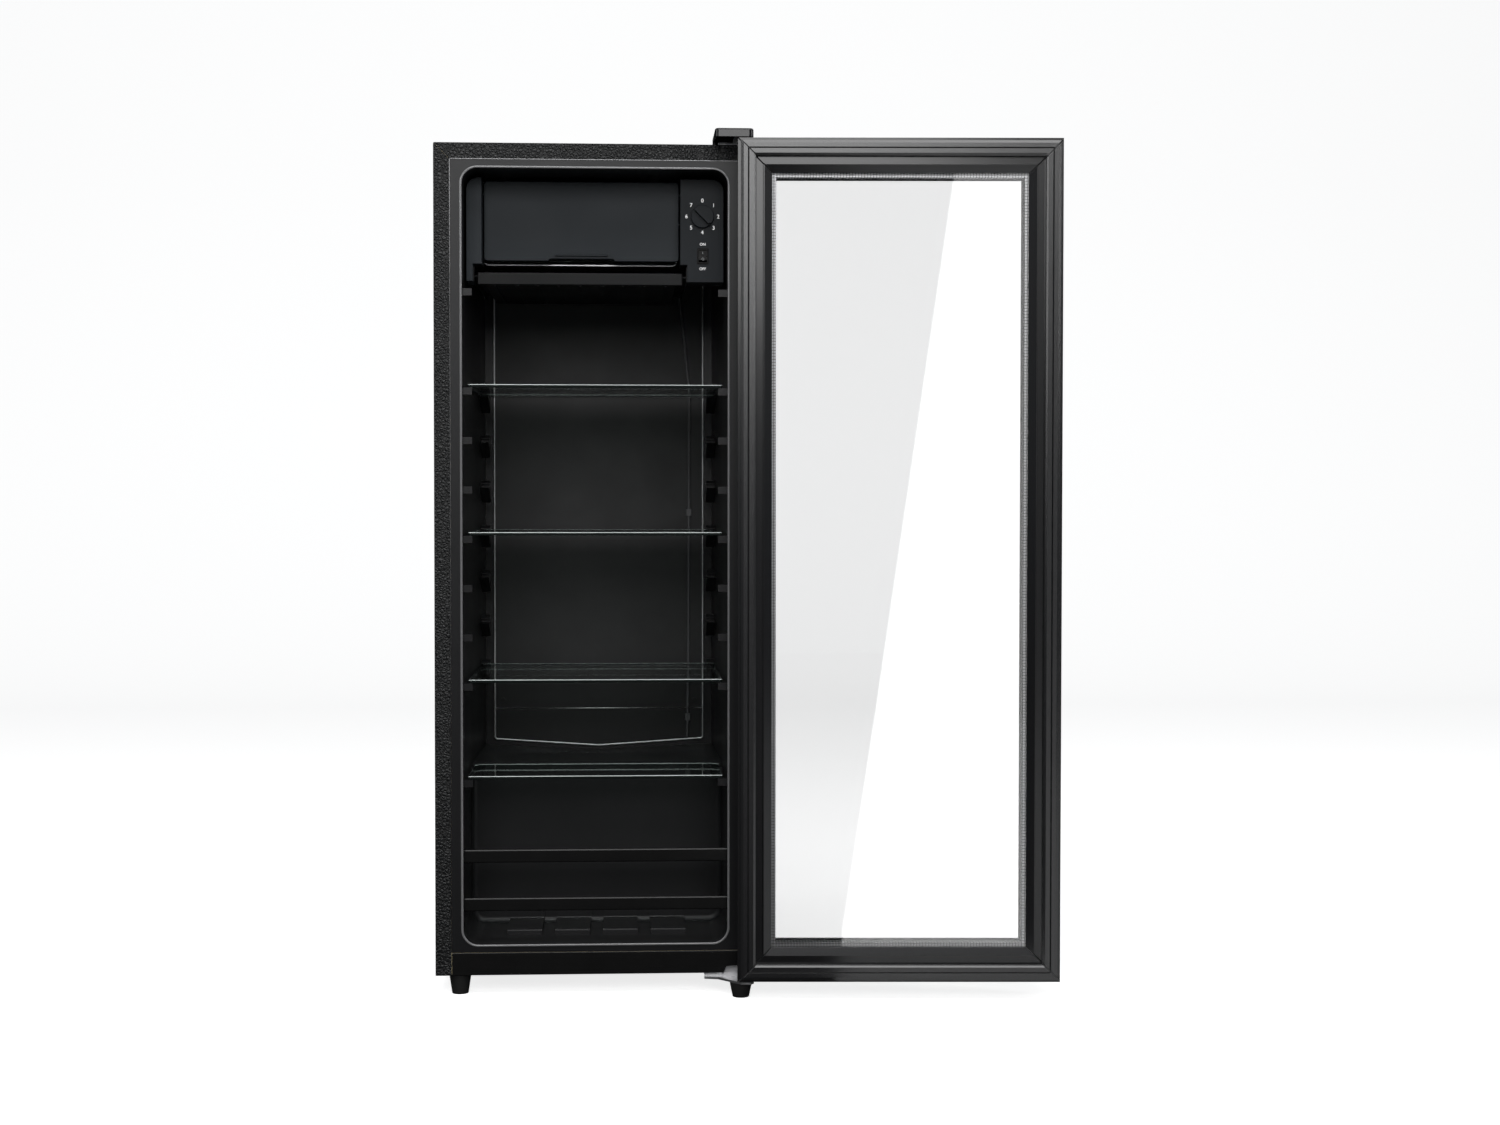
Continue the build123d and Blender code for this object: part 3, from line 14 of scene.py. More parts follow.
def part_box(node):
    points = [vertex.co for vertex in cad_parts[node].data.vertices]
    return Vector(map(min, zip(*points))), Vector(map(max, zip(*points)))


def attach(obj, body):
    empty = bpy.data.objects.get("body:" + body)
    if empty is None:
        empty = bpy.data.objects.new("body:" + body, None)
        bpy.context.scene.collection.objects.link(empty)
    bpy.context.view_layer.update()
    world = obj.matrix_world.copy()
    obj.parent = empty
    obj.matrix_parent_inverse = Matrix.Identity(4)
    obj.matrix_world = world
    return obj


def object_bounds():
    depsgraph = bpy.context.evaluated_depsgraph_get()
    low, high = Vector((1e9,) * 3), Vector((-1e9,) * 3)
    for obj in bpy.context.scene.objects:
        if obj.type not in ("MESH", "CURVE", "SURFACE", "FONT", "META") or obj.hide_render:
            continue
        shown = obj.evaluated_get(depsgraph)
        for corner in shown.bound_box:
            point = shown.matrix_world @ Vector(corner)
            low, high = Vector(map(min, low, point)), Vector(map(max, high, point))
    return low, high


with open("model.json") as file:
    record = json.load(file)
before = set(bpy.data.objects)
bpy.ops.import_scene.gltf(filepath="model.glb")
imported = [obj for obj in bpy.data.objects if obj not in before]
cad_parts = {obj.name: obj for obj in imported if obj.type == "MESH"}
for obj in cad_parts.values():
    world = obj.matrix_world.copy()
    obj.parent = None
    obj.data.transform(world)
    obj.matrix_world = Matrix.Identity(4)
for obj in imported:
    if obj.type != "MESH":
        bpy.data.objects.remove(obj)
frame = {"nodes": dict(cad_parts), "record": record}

solid_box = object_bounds()
nodes = frame["nodes"]
scene = bpy.context.scene
print("nodes in the frame:", len(nodes), "box:", [list(map(float, c)) for c in solid_box])

# %% [markdown]
# The camera stands a little right of the cabinet's middle, three metres off and at door-handle height,
# turned a few degrees to the right and very slightly down. Its lens is a mild telephoto. The three
# angles are given as turns about X, Y and Z, so the numbers can be read off directly.

# %% Camera
view = bpy.data.cameras.new("portrait_camera")
view.lens = 53.59
view.sensor_width = 36.0
camera = bpy.data.objects.new("portrait_camera", view)
camera.location = (0.0408, -3.2196, 0.66725)
camera.rotation_euler = (math.radians(90 - 1.62), math.radians(-0.05), math.radians(-3.18))
scene.collection.objects.link(camera)
scene.camera = camera
print("camera at", tuple(round(v, 3) for v in camera.location), "lens", view.lens)

# %% [markdown]
# The studio is a white room in the way of catalogue pictures: the camera sees white all round, while
# the room itself is dim, so that black plastic shows the lamps and little else. The world and the floor
# therefore carry two shaders each, one for what the camera sees and one for what lights the object.
# The floor is a surface z = f(y): flat, then an arc, then straight up, repeated along x.


# %% The floor and the wall behind
def sheet_mesh(name, grid, close_u=False, close_v=False):
    """A mesh from a grid of points (rows, columns, 3); each cell of the grid becomes one quad."""
    rows, cols = grid.shape[:2]
    index = np.arange(rows * cols).reshape(rows, cols)
    if close_u:
        index = np.concatenate([index, index[:1]], axis=0)
    if close_v:
        index = np.concatenate([index, index[:, :1]], axis=1)
    quads = np.stack([index[:-1, :-1], index[:-1, 1:], index[1:, 1:], index[1:, :-1]], axis=-1).reshape(-1, 4)
    mesh = bpy.data.meshes.new(name)
    mesh.from_pydata(grid.reshape(-1, 3).tolist(), [], quads.tolist())
    mesh.update()
    piece = bpy.data.objects.new(name, mesh)
    scene.collection.objects.link(piece)
    return piece


def sweep_grid(half_width=9.0, near=-7.0, far=4.0, radius=2.0, height=6.0):
    """Floor y from near to far at z = 0, then a quarter circle of the radius, then a wall to height."""
    turn = np.linspace(0, np.pi / 2, 24)
    y = np.concatenate([np.linspace(near, far, 12), far + radius * np.sin(turn[1:]), [far + radius]])
    z = np.concatenate([np.zeros(12), radius * (1 - np.cos(turn[1:])), [height]])
    x = np.linspace(-half_width, half_width, 12)
    return np.stack(np.broadcast_arrays(x[None, :], y[:, None], z[:, None]), axis=-1)


def seen_and_lighting(tree, seen, lighting, out):
    """Shows one shader to the camera and another to every other ray."""
    ray = tree.nodes.new("ShaderNodeLightPath")
    mix = tree.nodes.new("ShaderNodeMixShader")
    tree.links.new(ray.outputs["Is Camera Ray"], mix.inputs[0])
    tree.links.new(lighting.outputs[0], mix.inputs[1])
    tree.links.new(seen.outputs[0], mix.inputs[2])
    tree.links.new(mix.outputs[0], out.inputs["Surface"])


floor = sheet_mesh("studio_floor", sweep_grid())
floor.data.polygons.foreach_set("use_smooth", np.ones(len(floor.data.polygons), dtype=bool))
paper = bpy.data.materials.new("studio_paper")
paper.use_nodes = True
pale = paper.node_tree.nodes["Principled BSDF"]
pale.inputs["Base Color"].default_value = (0.9, 0.9, 0.9, 1.0)
pale.inputs["Roughness"].default_value = 1.0
pale.inputs["Specular IOR Level"].default_value = 0.0
pale.inputs["Emission Color"].default_value = (1.0, 1.0, 1.0, 1.0)
pale.inputs["Emission Strength"].default_value = 0.80
dim = paper.node_tree.nodes.new("ShaderNodeBsdfDiffuse")
dim.inputs["Color"].default_value = (0.08, 0.08, 0.08, 1.0)
seen_and_lighting(paper.node_tree, pale, dim, paper.node_tree.nodes["Material Output"])
floor.data.materials.append(paper)
print("floor faces:", len(floor.data.polygons))

# %% [markdown]
# Four soft lamps light the cooler. The front and overhead ones leave out the door's panes, by light
# linking, so that no lamp shows in the glass as a bright rectangle.

# %% Lamps and world
scene.view_settings.view_transform = "Standard"
world = bpy.data.worlds.new("white_room")
scene.world = world
world.use_nodes = True
white = world.node_tree.nodes["Background"]
white.inputs["Color"].default_value = (1.0, 1.0, 1.0, 1.0)
white.inputs["Strength"].default_value = 1.0
gloom = world.node_tree.nodes.new("ShaderNodeBackground")
gloom.inputs["Color"].default_value = (0.90, 0.96, 1.0, 1.0)
gloom.inputs["Strength"].default_value = 0.10
seen_and_lighting(world.node_tree, white, gloom, world.node_tree.nodes["World Output"])


def lamp(name, place, target, size, watts):
    """A rectangular soft lamp that looks from its place at a target."""
    light = bpy.data.lights.new(name, "AREA")
    light.shape = "RECTANGLE"
    light.size, light.size_y = size
    light.energy = watts
    piece = bpy.data.objects.new(name, light)
    piece.location = place
    aim = Vector(target) - Vector(place)
    piece.rotation_euler = aim.to_track_quat("-Z", "Y").to_euler()
    scene.collection.objects.link(piece)
    return piece


lamp("overhead", (0.1, -1.5, 3.2), (0.1, -0.1, 0.6), (2.6, 1.4), 42)
lamp("front_softbox", (0.2, -4.3, 2.15), (0.2, 0.0, 0.9), (3.4, 1.7), 74)
lamp("left_strip", (-2.9, -1.2, 1.9), (0.0, 0.0, 0.9), (0.8, 1.8), 18)
lamp("right_strip", (3.1, -1.0, 1.9), (0.4, -0.2, 0.9), (0.6, 1.8), 20)
panes = bpy.data.collections.new("panes")
for name in ("outer_glass", "inner_glass"):
    panes.objects.link(nodes[name])
all_but_panes = bpy.data.collections.new("all_but_panes")
for name in ("outer_glass", "inner_glass"):
    all_but_panes.objects.link(nodes[name])
for held in all_but_panes.collection_objects:
    held.light_linking.link_state = "EXCLUDE"
for name in ("front_softbox", "overhead"):
    scene.objects[name].light_linking.receiver_collection = all_but_panes

# %% [markdown]
# A large white card stands behind the camera, to the right. Its slanted left edge is what cuts the
# door's glass into a grey part and a white part. To find where the edge must be, the camera's line of
# sight to each end of that cut is bounced off the pane, as off a mirror, and followed to the card.

# %% The card that the glass reflects
pane_low, pane_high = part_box("inner_glass")
hinge = next(j for j in frame["record"]["behaviour"]["joints"] if j["name"] == "door_hinge")
swing = math.radians(-hinge["range_deg"][0])
pane_normal = Vector((-math.sin(swing), math.cos(swing), 0.0))
pane_point = Vector(((pane_low[0] + pane_high[0]) / 2, (pane_low[1] + pane_high[1]) / 2, pane_low[2]))
card_y = -4.0


def bounced_to_card(x, z):
    """Where the camera's ray through the pane at (x, z) meets the card's plane after a mirror bounce."""
    eye = camera.location
    y = pane_point.y - (x - pane_point.x) * pane_normal.x / pane_normal.y
    hit = Vector((x, y, z))
    ray = (hit - eye).normalized()
    out = ray - 2 * ray.dot(pane_normal) * pane_normal
    return hit + out * ((card_y - hit.y) / out.y)


def bounced_to_floor(x, z, lift=0.002):
    """The same ray, followed only until it comes down to the floor."""
    end = bounced_to_card(x, z)
    start = Vector((x, pane_point.y, z))
    share = (start.z - lift) / (start.z - end.z)
    return start + (end - start) * share


def white_card(name, corners):
    """A glowing four-cornered card that only the door's panes can see."""
    card = sheet_mesh(name, np.array(corners, dtype=float).reshape(2, 2, 3))
    glow = bpy.data.materials.get("lit_card")
    if glow is None:
        glow = bpy.data.materials.new("lit_card")
        glow.use_nodes = True
        glow.node_tree.nodes["Principled BSDF"].inputs["Emission Color"].default_value = (1.0, 1.0, 1.0, 1.0)
        glow.node_tree.nodes["Principled BSDF"].inputs["Emission Strength"].default_value = 2.4
    card.data.materials.append(glow)
    card.visible_camera = False
    card.visible_diffuse = False
    card.visible_shadow = False
    card.light_linking.receiver_collection = panes
    return card


cut_top, cut_bottom = (0.474, 1.086), (0.330, 0.084)
top, bottom = bounced_to_card(*cut_top), bounced_to_card(*cut_bottom)
meets_floor = bottom + (top - bottom) * (0.002 - bottom.z) / (top.z - bottom.z)
above = top + (top - bottom) * 0.2
near = bounced_to_floor(*cut_bottom)
nearer = near + (near - meets_floor) * 0.12
wide = 3.4
white_card("white_card", [above, (wide, card_y, above.z), meets_floor, (wide, card_y, 0.002)])
white_card("white_card_on_floor", [meets_floor, (wide, card_y, 0.002), nearer, (wide, nearer.y, 0.002)])
print("the card's edge runs from", [round(v, 2) for v in above], "to", [round(v, 2) for v in nearer])

# %% [markdown]
# Node materials are easier to read as arithmetic. Each output of a node is wrapped in a small class
# whose operators add Math nodes, so `1 - mask * 0.5` builds the same network as three dragged nodes.


# %% Sockets as numbers
class Wire:
    """One output of a node; arithmetic on it adds Math nodes to the same material."""

    def __init__(self, tree, socket):
        self.tree, self.socket = tree, socket

    def _math(self, operation, *values):
        node = self.tree.nodes.new("ShaderNodeMath")
        node.operation = operation
        for slot, value in zip(node.inputs, values):
            if isinstance(value, Wire):
                self.tree.links.new(value.socket, slot)
            else:
                slot.default_value = value
        return Wire(self.tree, node.outputs[0])

    def __add__(self, other): return self._math("ADD", self, other)
    def __radd__(self, other): return self._math("ADD", other, self)
    def __sub__(self, other): return self._math("SUBTRACT", self, other)
    def __rsub__(self, other): return self._math("SUBTRACT", other, self)
    def __mul__(self, other): return self._math("MULTIPLY", self, other)
    def __rmul__(self, other): return self._math("MULTIPLY", other, self)
    def __gt__(self, other): return self._math("GREATER_THAN", self, other)
    def __lt__(self, other): return self._math("LESS_THAN", self, other)
    def __abs__(self): return self._math("ABSOLUTE", self)
    def wave(self): return self._math("SINE", self)
    def least(self, other): return self._math("MINIMUM", self, other)
    def most(self, other): return self._math("MAXIMUM", self, other)

    def between(self, low, high):
        """0 below low, 1 above high, a straight ramp in the middle."""
        node = self.tree.nodes.new("ShaderNodeMapRange")
        self.tree.links.new(self.socket, node.inputs["Value"])
        node.inputs["From Min"].default_value = low
        node.inputs["From Max"].default_value = high
        return Wire(self.tree, node.outputs["Result"])


class Finish:
    """A material being built: a Principled shader, and short ways to feed it."""

    def __init__(self, name, color, roughness, **constants):
        self.material = bpy.data.materials.new(name)
        self.material.use_nodes = True
        self.tree = self.material.node_tree
        self.shader = self.tree.nodes["Principled BSDF"]
        self.shader.inputs["Base Color"].default_value = (*color, 1.0)
        self.shader.inputs["Roughness"].default_value = roughness
        for label, value in constants.items():
            self.shader.inputs[label.replace("_", " ")].default_value = value
        self.place = self.node("TexCoord", out="Object")

    def node(self, kind, out=0, settings=None, **inputs):
        """Any other node: its inputs by name, and the output that is wanted."""
        node = self.tree.nodes.new("ShaderNode" + kind)
        for key, value in (settings or {}).items():
            setattr(node, key, value)
        for label, value in inputs.items():
            slot = node.inputs[label.replace("_", " ")]
            if isinstance(value, Wire):
                self.tree.links.new(value.socket, slot)
            else:
                slot.default_value = value
        return Wire(self.tree, node.outputs[out])

    def noise(self, scale, detail=2.0, roughness=0.5, vector=None):
        return self.node("TexNoise", Vector=vector or self.place, Scale=scale, Detail=detail,
                         Roughness=roughness)

    def cells(self, scale, out="Distance", feature="F1", vector=None):
        return self.node("TexVoronoi", out=out, settings={"feature": feature}, Vector=vector or self.place,
                         Scale=scale)

    def axis(self, letter):
        return self.node("SeparateXYZ", out=letter, Vector=self.place)

    def blend(self, mask, first, second):
        """A colour between two, by a mask from 0 to 1."""
        node = self.tree.nodes.new("ShaderNodeMix")
        node.data_type = "RGBA"
        self.tree.links.new(mask.socket, node.inputs[0])
        for slot, color in ((node.inputs[6], first), (node.inputs[7], second)):
            if isinstance(color, Wire):
                self.tree.links.new(color.socket, slot)
            else:
                slot.default_value = (*color, 1.0)
        return Wire(self.tree, node.outputs[2])

    def feed(self, label, wire):
        self.tree.links.new(wire.socket, self.shader.inputs[label])
        return self

    def bump(self, height, distance, strength=1.0):
        """Relief: the height wire times a distance in metres."""
        self.feed("Normal", self.node("Bump", Height=height, Distance=distance, Strength=strength))
        return self


def wear(node_name, finish):
    """Gives a node of the frame its finished material."""
    mesh = nodes[node_name].data
    mesh.materials.clear()
    mesh.materials.append(finish.material)


print("shader helpers ready")

# %% [markdown]
# The casing is steel sheet laminated with a leather-grain film. Up close the film is a crowd of tiny
# pebbles with creases between them, so a cell pattern gives the relief: each cell rises in the middle,
# and the creases are where two cells meet. A slower noise varies the gloss, as handling does.

# %% Leather-grain casing
grain = Finish("leather_grain_black", (0.010, 0.010, 0.011), 0.26, Specular_IOR_Level=0.42)
pebble = grain.cells(240.0)
crease = grain.cells(240.0, feature="DISTANCE_TO_EDGE")
fine = grain.noise(1500.0, 2.0)
grain.bump(crease.between(0.0, 0.30) * 0.8 + fine * 0.3 - pebble * 0.3, 0.0011, 1.0)
grain.feed("Roughness", 0.20 + grain.noise(9.0, 3.0) * 0.10 + crease.between(0.25, 0.0) * 0.2)
# The base colour is near black in the creases and paler on the pebble tops: painted shade in the creases and
# painted glints on the pebbles.
grain.feed("Base Color", grain.blend(crease.between(0.02, 0.22), (0.002, 0.002, 0.002),
                                     (0.013, 0.014, 0.015)))
wear("outer_casing", grain)

# %% [markdown]
# The liner is vacuum-formed polystyrene, dyed black. Forming leaves a satin skin with a faint orange
# peel and a slow waviness in the big panels. The same finish in a bluer grey does the flap, the cheek
# and the control housing, which are injection moulded with a fine spark-eroded texture.

# %% Moulded plastics
def moulded(name, dark, light, gloss, peel_scale, peel_depth, **constants):
    """A dyed plastic: two close tones by slow noise, a peel from fine noise, and slow gloss changes."""
    finish = Finish(name, dark, gloss, **constants)
    slow = finish.noise(6.0, 3.0)
    finish.feed("Base Color", finish.blend(slow, dark, light))
    finish.feed("Roughness", gloss - 0.05 + finish.noise(14.0, 2.0) * 0.1)
    finish.bump(finish.noise(peel_scale, 2.0) + finish.noise(9.0, 1.0) * 2.0, peel_depth)
    return finish


liner_skin = moulded("liner_black", (0.012, 0.012, 0.013), (0.017, 0.017, 0.018), 0.36, 420.0, 0.00006,
                     Specular_IOR_Level=0.34)
# The liner's colour is darker near the front and paler further in: painted shade on the mouth and painted
# light on the inner walls, which the lamps barely reach.
inside = liner_skin.axis("Y").between(solid_box[0][1] + 0.06, solid_box[0][1] + 0.16)
liner_skin.feed("Base Color", liner_skin.blend(inside, (0.007, 0.007, 0.008), (0.015, 0.015, 0.016)))
smoke_grey = moulded("smoke_grey_plastic", (0.017, 0.022, 0.027), (0.020, 0.026, 0.032), 0.50, 1800.0,
                     0.00004, Specular_IOR_Level=0.26)
panel_grey = moulded("panel_grey_plastic", (0.011, 0.014, 0.017), (0.013, 0.016, 0.020), 0.5, 1800.0, 0.00004,
                     Specular_IOR_Level=0.20)
tray_grey = moulded("tray_grey_plastic", (0.010, 0.0105, 0.011), (0.013, 0.0135, 0.014), 0.45, 500.0, 0.00004,
                    Specular_IOR_Level=0.16)
gloss_black = moulded("gloss_black_plastic", (0.006, 0.006, 0.007), (0.009, 0.009, 0.010), 0.16, 300.0,
                      0.00001)
hose_grey = moulded("hose_grey", (0.10, 0.10, 0.105), (0.13, 0.13, 0.135), 0.4, 900.0, 0.00002)
for name in ("inner_liner", "plate_spacers"):
    wear(name, liner_skin)
for name in ("freezer_flap", "ice_box_cheek"):
    wear(name, smoke_grey)
for name in ("control_housing", "thermostat_knob", "thermostat_body"):
    wear(name, panel_grey)
for name in ("drip_tray", "tray_runners", "evaporating_pan"):
    wear(name, tray_grey)
for name in ("hinge_cap", "door_handle", "relay_cover", "hinge_bushes"):
    wear(name, gloss_black)
switch_black = moulded("switch_black", (0.004, 0.004, 0.004), (0.006, 0.006, 0.006), 0.3, 900.0, 0.00001,
                       Specular_IOR_Level=0.12)
for name in ("switch_body", "switch_rocker"):
    wear(name, switch_black)
for name in ("defrost_hose", "hose_clips", "drain_tube"):
    wear(name, hose_grey)

# %% [markdown]
# Painted metal: the cold plate is thin aluminium with a black bake finish, a little wavy because it is
# so thin; the bars and the kick plate are smoother. Paint gathers in a fine peel, so the relief is
# small and the gloss higher than on the plastics.

# %% Painted and bare metals
def painted(name, color, gloss, wave_depth, **constants):
    """Baked paint on sheet: fine peel plus a slow sheet-metal wave, and dust that dulls it in patches."""
    finish = Finish(name, color, gloss, **constants)
    finish.bump(finish.noise(700.0, 2.0) * 0.15 + finish.noise(7.0, 1.0), wave_depth)
    finish.feed("Roughness", gloss + finish.noise(25.0, 3.0) * 0.12 - 0.06)
    finish.feed("Base Color", finish.blend(finish.noise(40.0, 3.0), color, tuple(c * 1.5 for c in color)))
    return finish


plate_paint = painted("cold_plate_black", (0.0065, 0.0065, 0.007), 0.55, 0.0004)
bar_paint = painted("bar_black", (0.005, 0.005, 0.005), 0.20, 0.0001, Specular_IOR_Level=0.45)
wire_paint = painted("condenser_black", (0.010, 0.010, 0.010), 0.42, 0.0002)
frame_paint = painted("door_frame_black", (0.007, 0.007, 0.008), 0.20, 0.0002, Specular_IOR_Level=0.7)
wear("cold_plate", plate_paint)
for name in ("guard_bars", "kick_plate"):
    wear(name, bar_paint)
for name in ("condenser_pipe", "condenser_wires", "condenser_brackets", "compressor", "compressor_mount"):
    wear(name, wire_paint)
for name in ("door_hinge_stile", "door_grip_stile", "door_top_rail", "door_bottom_rail",
             "door_inner_moulding"):
    wear(name, frame_paint)


def brushed(name, color, gloss, stretch):
    """Bare metal: noise stretched along one axis gives the rolling marks, in tone, gloss and relief."""
    finish = Finish(name, color, gloss, Metallic=1.0)
    drawn = finish.node("Mapping", Vector=finish.place, Scale=stretch)
    marks = finish.noise(400.0, 3.0, vector=drawn)
    finish.feed("Base Color", finish.blend(marks, tuple(c * 0.78 for c in color), color))
    finish.feed("Roughness", gloss + marks * 0.2 - 0.1)
    finish.bump(marks, 0.00003)
    return finish


def spangled(name, color):
    """Zinc on steel: flat crystals of slightly different brightness and gloss."""
    finish = Finish(name, color, 0.4, Metallic=1.0)
    tone = finish.node("SeparateXYZ", out="X", Vector=finish.cells(90.0, out="Color"))
    finish.feed("Base Color", finish.blend(tone, tuple(c * 0.72 for c in color), color))
    finish.feed("Roughness", 0.32 + tone * 0.22)
    return finish


bright_zinc = brushed("bright_zinc", (0.62, 0.62, 0.63), 0.32, (1.0, 0.05, 1.0))
aluminium = brushed("rolled_aluminium", (0.72, 0.73, 0.74), 0.36, (0.06, 1.0, 1.0))
copper = brushed("copper_pipe", (0.74, 0.38, 0.25), 0.3, (1.0, 1.0, 0.1))
galvanised = spangled("galvanised_sheet", (0.50, 0.51, 0.52))
for name in ("top_hinge_bracket", "bottom_hinge_bracket", "hinge_screws", "back_screws"):
    wear(name, bright_zinc)
for name in ("ice_box", "evaporator_coil"):
    wear(name, aluminium)
for name in ("filter_drier", "discharge_pipe", "suction_pipe"):
    wear(name, copper)
for name in ("back_panel", "base_tray", "bay_deck"):
    wear(name, galvanised)

# %% [markdown]
# Rubber and foam. The door gasket is soft black PVC, matt with a dusty sheen; the feet are hard
# rubber. The foam never shows, yet it gets its own cream, bubbly finish for cut-away views.

# %% Rubber, foam and sealant
gasket_rubber = moulded("gasket_rubber", (0.008, 0.008, 0.009), (0.011, 0.011, 0.012), 0.24, 1500.0, 0.00002,
                        Specular_IOR_Level=1.0)
foot_rubber = moulded("foot_rubber", (0.007, 0.007, 0.007), (0.012, 0.012, 0.012), 0.6, 900.0, 0.00008)
foam = moulded("cream_foam", (0.62, 0.52, 0.30), (0.70, 0.61, 0.38), 0.9, 600.0, 0.0004)
wear("door_gasket", gasket_rubber)
wear("foam_insulation", foam)
for name in ("front_left_foot", "front_right_foot", "rear_feet", "cord_gland", "compressor_grommets",
             "glass_edge_seal"):
    wear(name, foot_rubber)

# %% [markdown]
# The gasket and the frame behind it are cut at 45 degrees and joined at the corners. A point is on such
# a joint when it is as far from the nearest side of the door as from the nearest end, so the difference
# of those two distances, compared with about a millimetre, draws all four joints at once.


# %% Mitred corners
stile_boxes = np.array([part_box(name) for name in ("door_hinge_stile", "door_grip_stile")])
door_low, door_high = stile_boxes[:, 0].min(axis=0), stile_boxes[:, 1].max(axis=0)
joint_width = 0.0012
print("door from", door_low.round(4), "to", door_high.round(4))


def mitred(finish, relief, distance):
    """Adds a fine groove along the four 45-degree joints to a finish and its own relief."""
    x, z = finish.axis("X"), finish.axis("Z")
    from_side = (x - float(door_low[0])).least(float(door_high[0]) - x)
    from_end = (z - float(door_low[2])).least(float(door_high[2]) - z)
    joint = abs(from_side - from_end).between(0.0, joint_width)
    finish.bump(joint * 8.0 + relief, distance)
    dark, light = (0.001, 0.001, 0.001), tuple(finish.shader.inputs["Base Color"].default_value)[:3]
    finish.feed("Base Color", finish.blend(joint, dark, light))
    finish.feed("Roughness", 0.9 - joint * (0.9 - finish.shader.inputs["Roughness"].default_value))


mitred(gasket_rubber, gasket_rubber.noise(1500.0, 2.0), 0.00005)
mitred(frame_paint, frame_paint.noise(7.0, 1.0), 0.00010)

# %% [markdown]
# The spacer between the door's two panes is an aluminium strip punched with a row of tiny holes, so
# that the drying beads inside can breathe. The holes are drawn by their distance from a repeating
# centre: across the strip the distance is plain, along it the wave of the coordinate repeats.

# %% Punched spacer
spacer = Finish("punched_spacer", (0.55, 0.55, 0.56), 0.4, Metallic=1.0)
step = 2 * math.pi / 0.004
row = ((spacer.axis("Z") * step).wave()).most((spacer.axis("X") * step).wave())
hole = row.between(0.80, 0.92)
spacer.feed("Base Color", spacer.blend(hole, (0.50, 0.50, 0.51), (0.02, 0.02, 0.02)))
spacer.feed("Metallic", 1 - hole)
spacer.bump(1 - hole, 0.0002)
wear("glass_spacer", spacer)

# %% [markdown]
# Glass is made of two shaders: what passes straight through, faintly green, and what reflects, mixed
# by the angle of view. It is drawn that way, rather than with refraction, because thin flat panes
# hardly bend the view and light must still reach the shelves below. Cut edges carry the glass's own
# green, so faces that aren't the pane's broad ones get a denser, brighter tone.


# %% Glass
def pane_glass(name, tint, edge_color, broad_axis, broad_limit, reflect):
    """Clear glass: pass-through and mirror mixed by Fresnel; edges, found by their normal, are denser."""
    finish = Finish(name, edge_color, 0.06)
    tree = finish.tree
    through = tree.nodes.new("ShaderNodeBsdfTransparent")
    through.inputs["Color"].default_value = (*tint, 1.0)
    mirror = tree.nodes.new("ShaderNodeBsdfGlossy")
    mirror.inputs["Color"].default_value = (1.0, 1.0, 1.0, 1.0)
    mirror.inputs["Roughness"].default_value = 0.01
    facing = finish.node("Fresnel", IOR=1.45)
    flat = finish.node("NewGeometry", out="Normal")
    lean = abs(finish.node("SeparateXYZ", out=broad_axis, Vector=flat))
    surface = tree.nodes.new("ShaderNodeMixShader")
    tree.links.new((facing * reflect).socket, surface.inputs[0])
    tree.links.new(through.outputs[0], surface.inputs[1])
    tree.links.new(mirror.outputs[0], surface.inputs[2])
    whole = tree.nodes.new("ShaderNodeMixShader")
    tree.links.new((lean < broad_limit).socket, whole.inputs[0])
    tree.links.new(surface.outputs[0], whole.inputs[1])
    tree.links.new(finish.shader.outputs[0], whole.inputs[2])
    tree.links.new(whole.outputs[0], tree.nodes["Material Output"].inputs["Surface"])
    return finish


def bright_arris(finish, heights, dark, light, reach=0.0013):
    """Near-white colour within a reach of any of the heights: a painted highlight along the top of each cut
    edge.
    """
    z = finish.axis("Z")
    near = abs(z - heights[0])
    for height in heights[1:]:
        near = near.least(abs(z - height))
    finish.feed("Base Color", finish.blend(near < reach, dark, light))


door_glass = pane_glass("door_glass", (0.984, 0.984, 0.984), (0.05, 0.10, 0.08), "Y", 0.9, 1.0)
shelf_glass = pane_glass("shelf_glass", (0.90, 0.93, 0.92), (0.020, 0.030, 0.027), "Z", 0.9, 0.5)
for name in ("outer_glass", "inner_glass"):
    wear(name, door_glass)
shelves = ("top_shelf", "middle_shelf", "lower_shelf", "bottom_shelf")
for name in shelves:
    wear(name, shelf_glass)
# The shelves' top edges get a thin near-white band, a painted highlight.
bright_arris(shelf_glass, [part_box(name)[1][2] for name in shelves], (0.010, 0.014, 0.013),
             (0.75, 0.82, 0.80), 0.0009)
print("materials:", len(bpy.data.materials))

# %% [markdown]
# A few narrow mouldings are too fine for the solid model. The liner's mouth has a rolled lip, the
# casing's folded flange ends in a hem that shows its bare edge, and the cold plate is hemmed all round
# and creased across.
# Each is a surface of two parameters: u runs along a path of rounded corners, v once round an ellipse.
# A path that returns to its start gives a ring; an open one is closed by shrinking its end rings to a
# point.


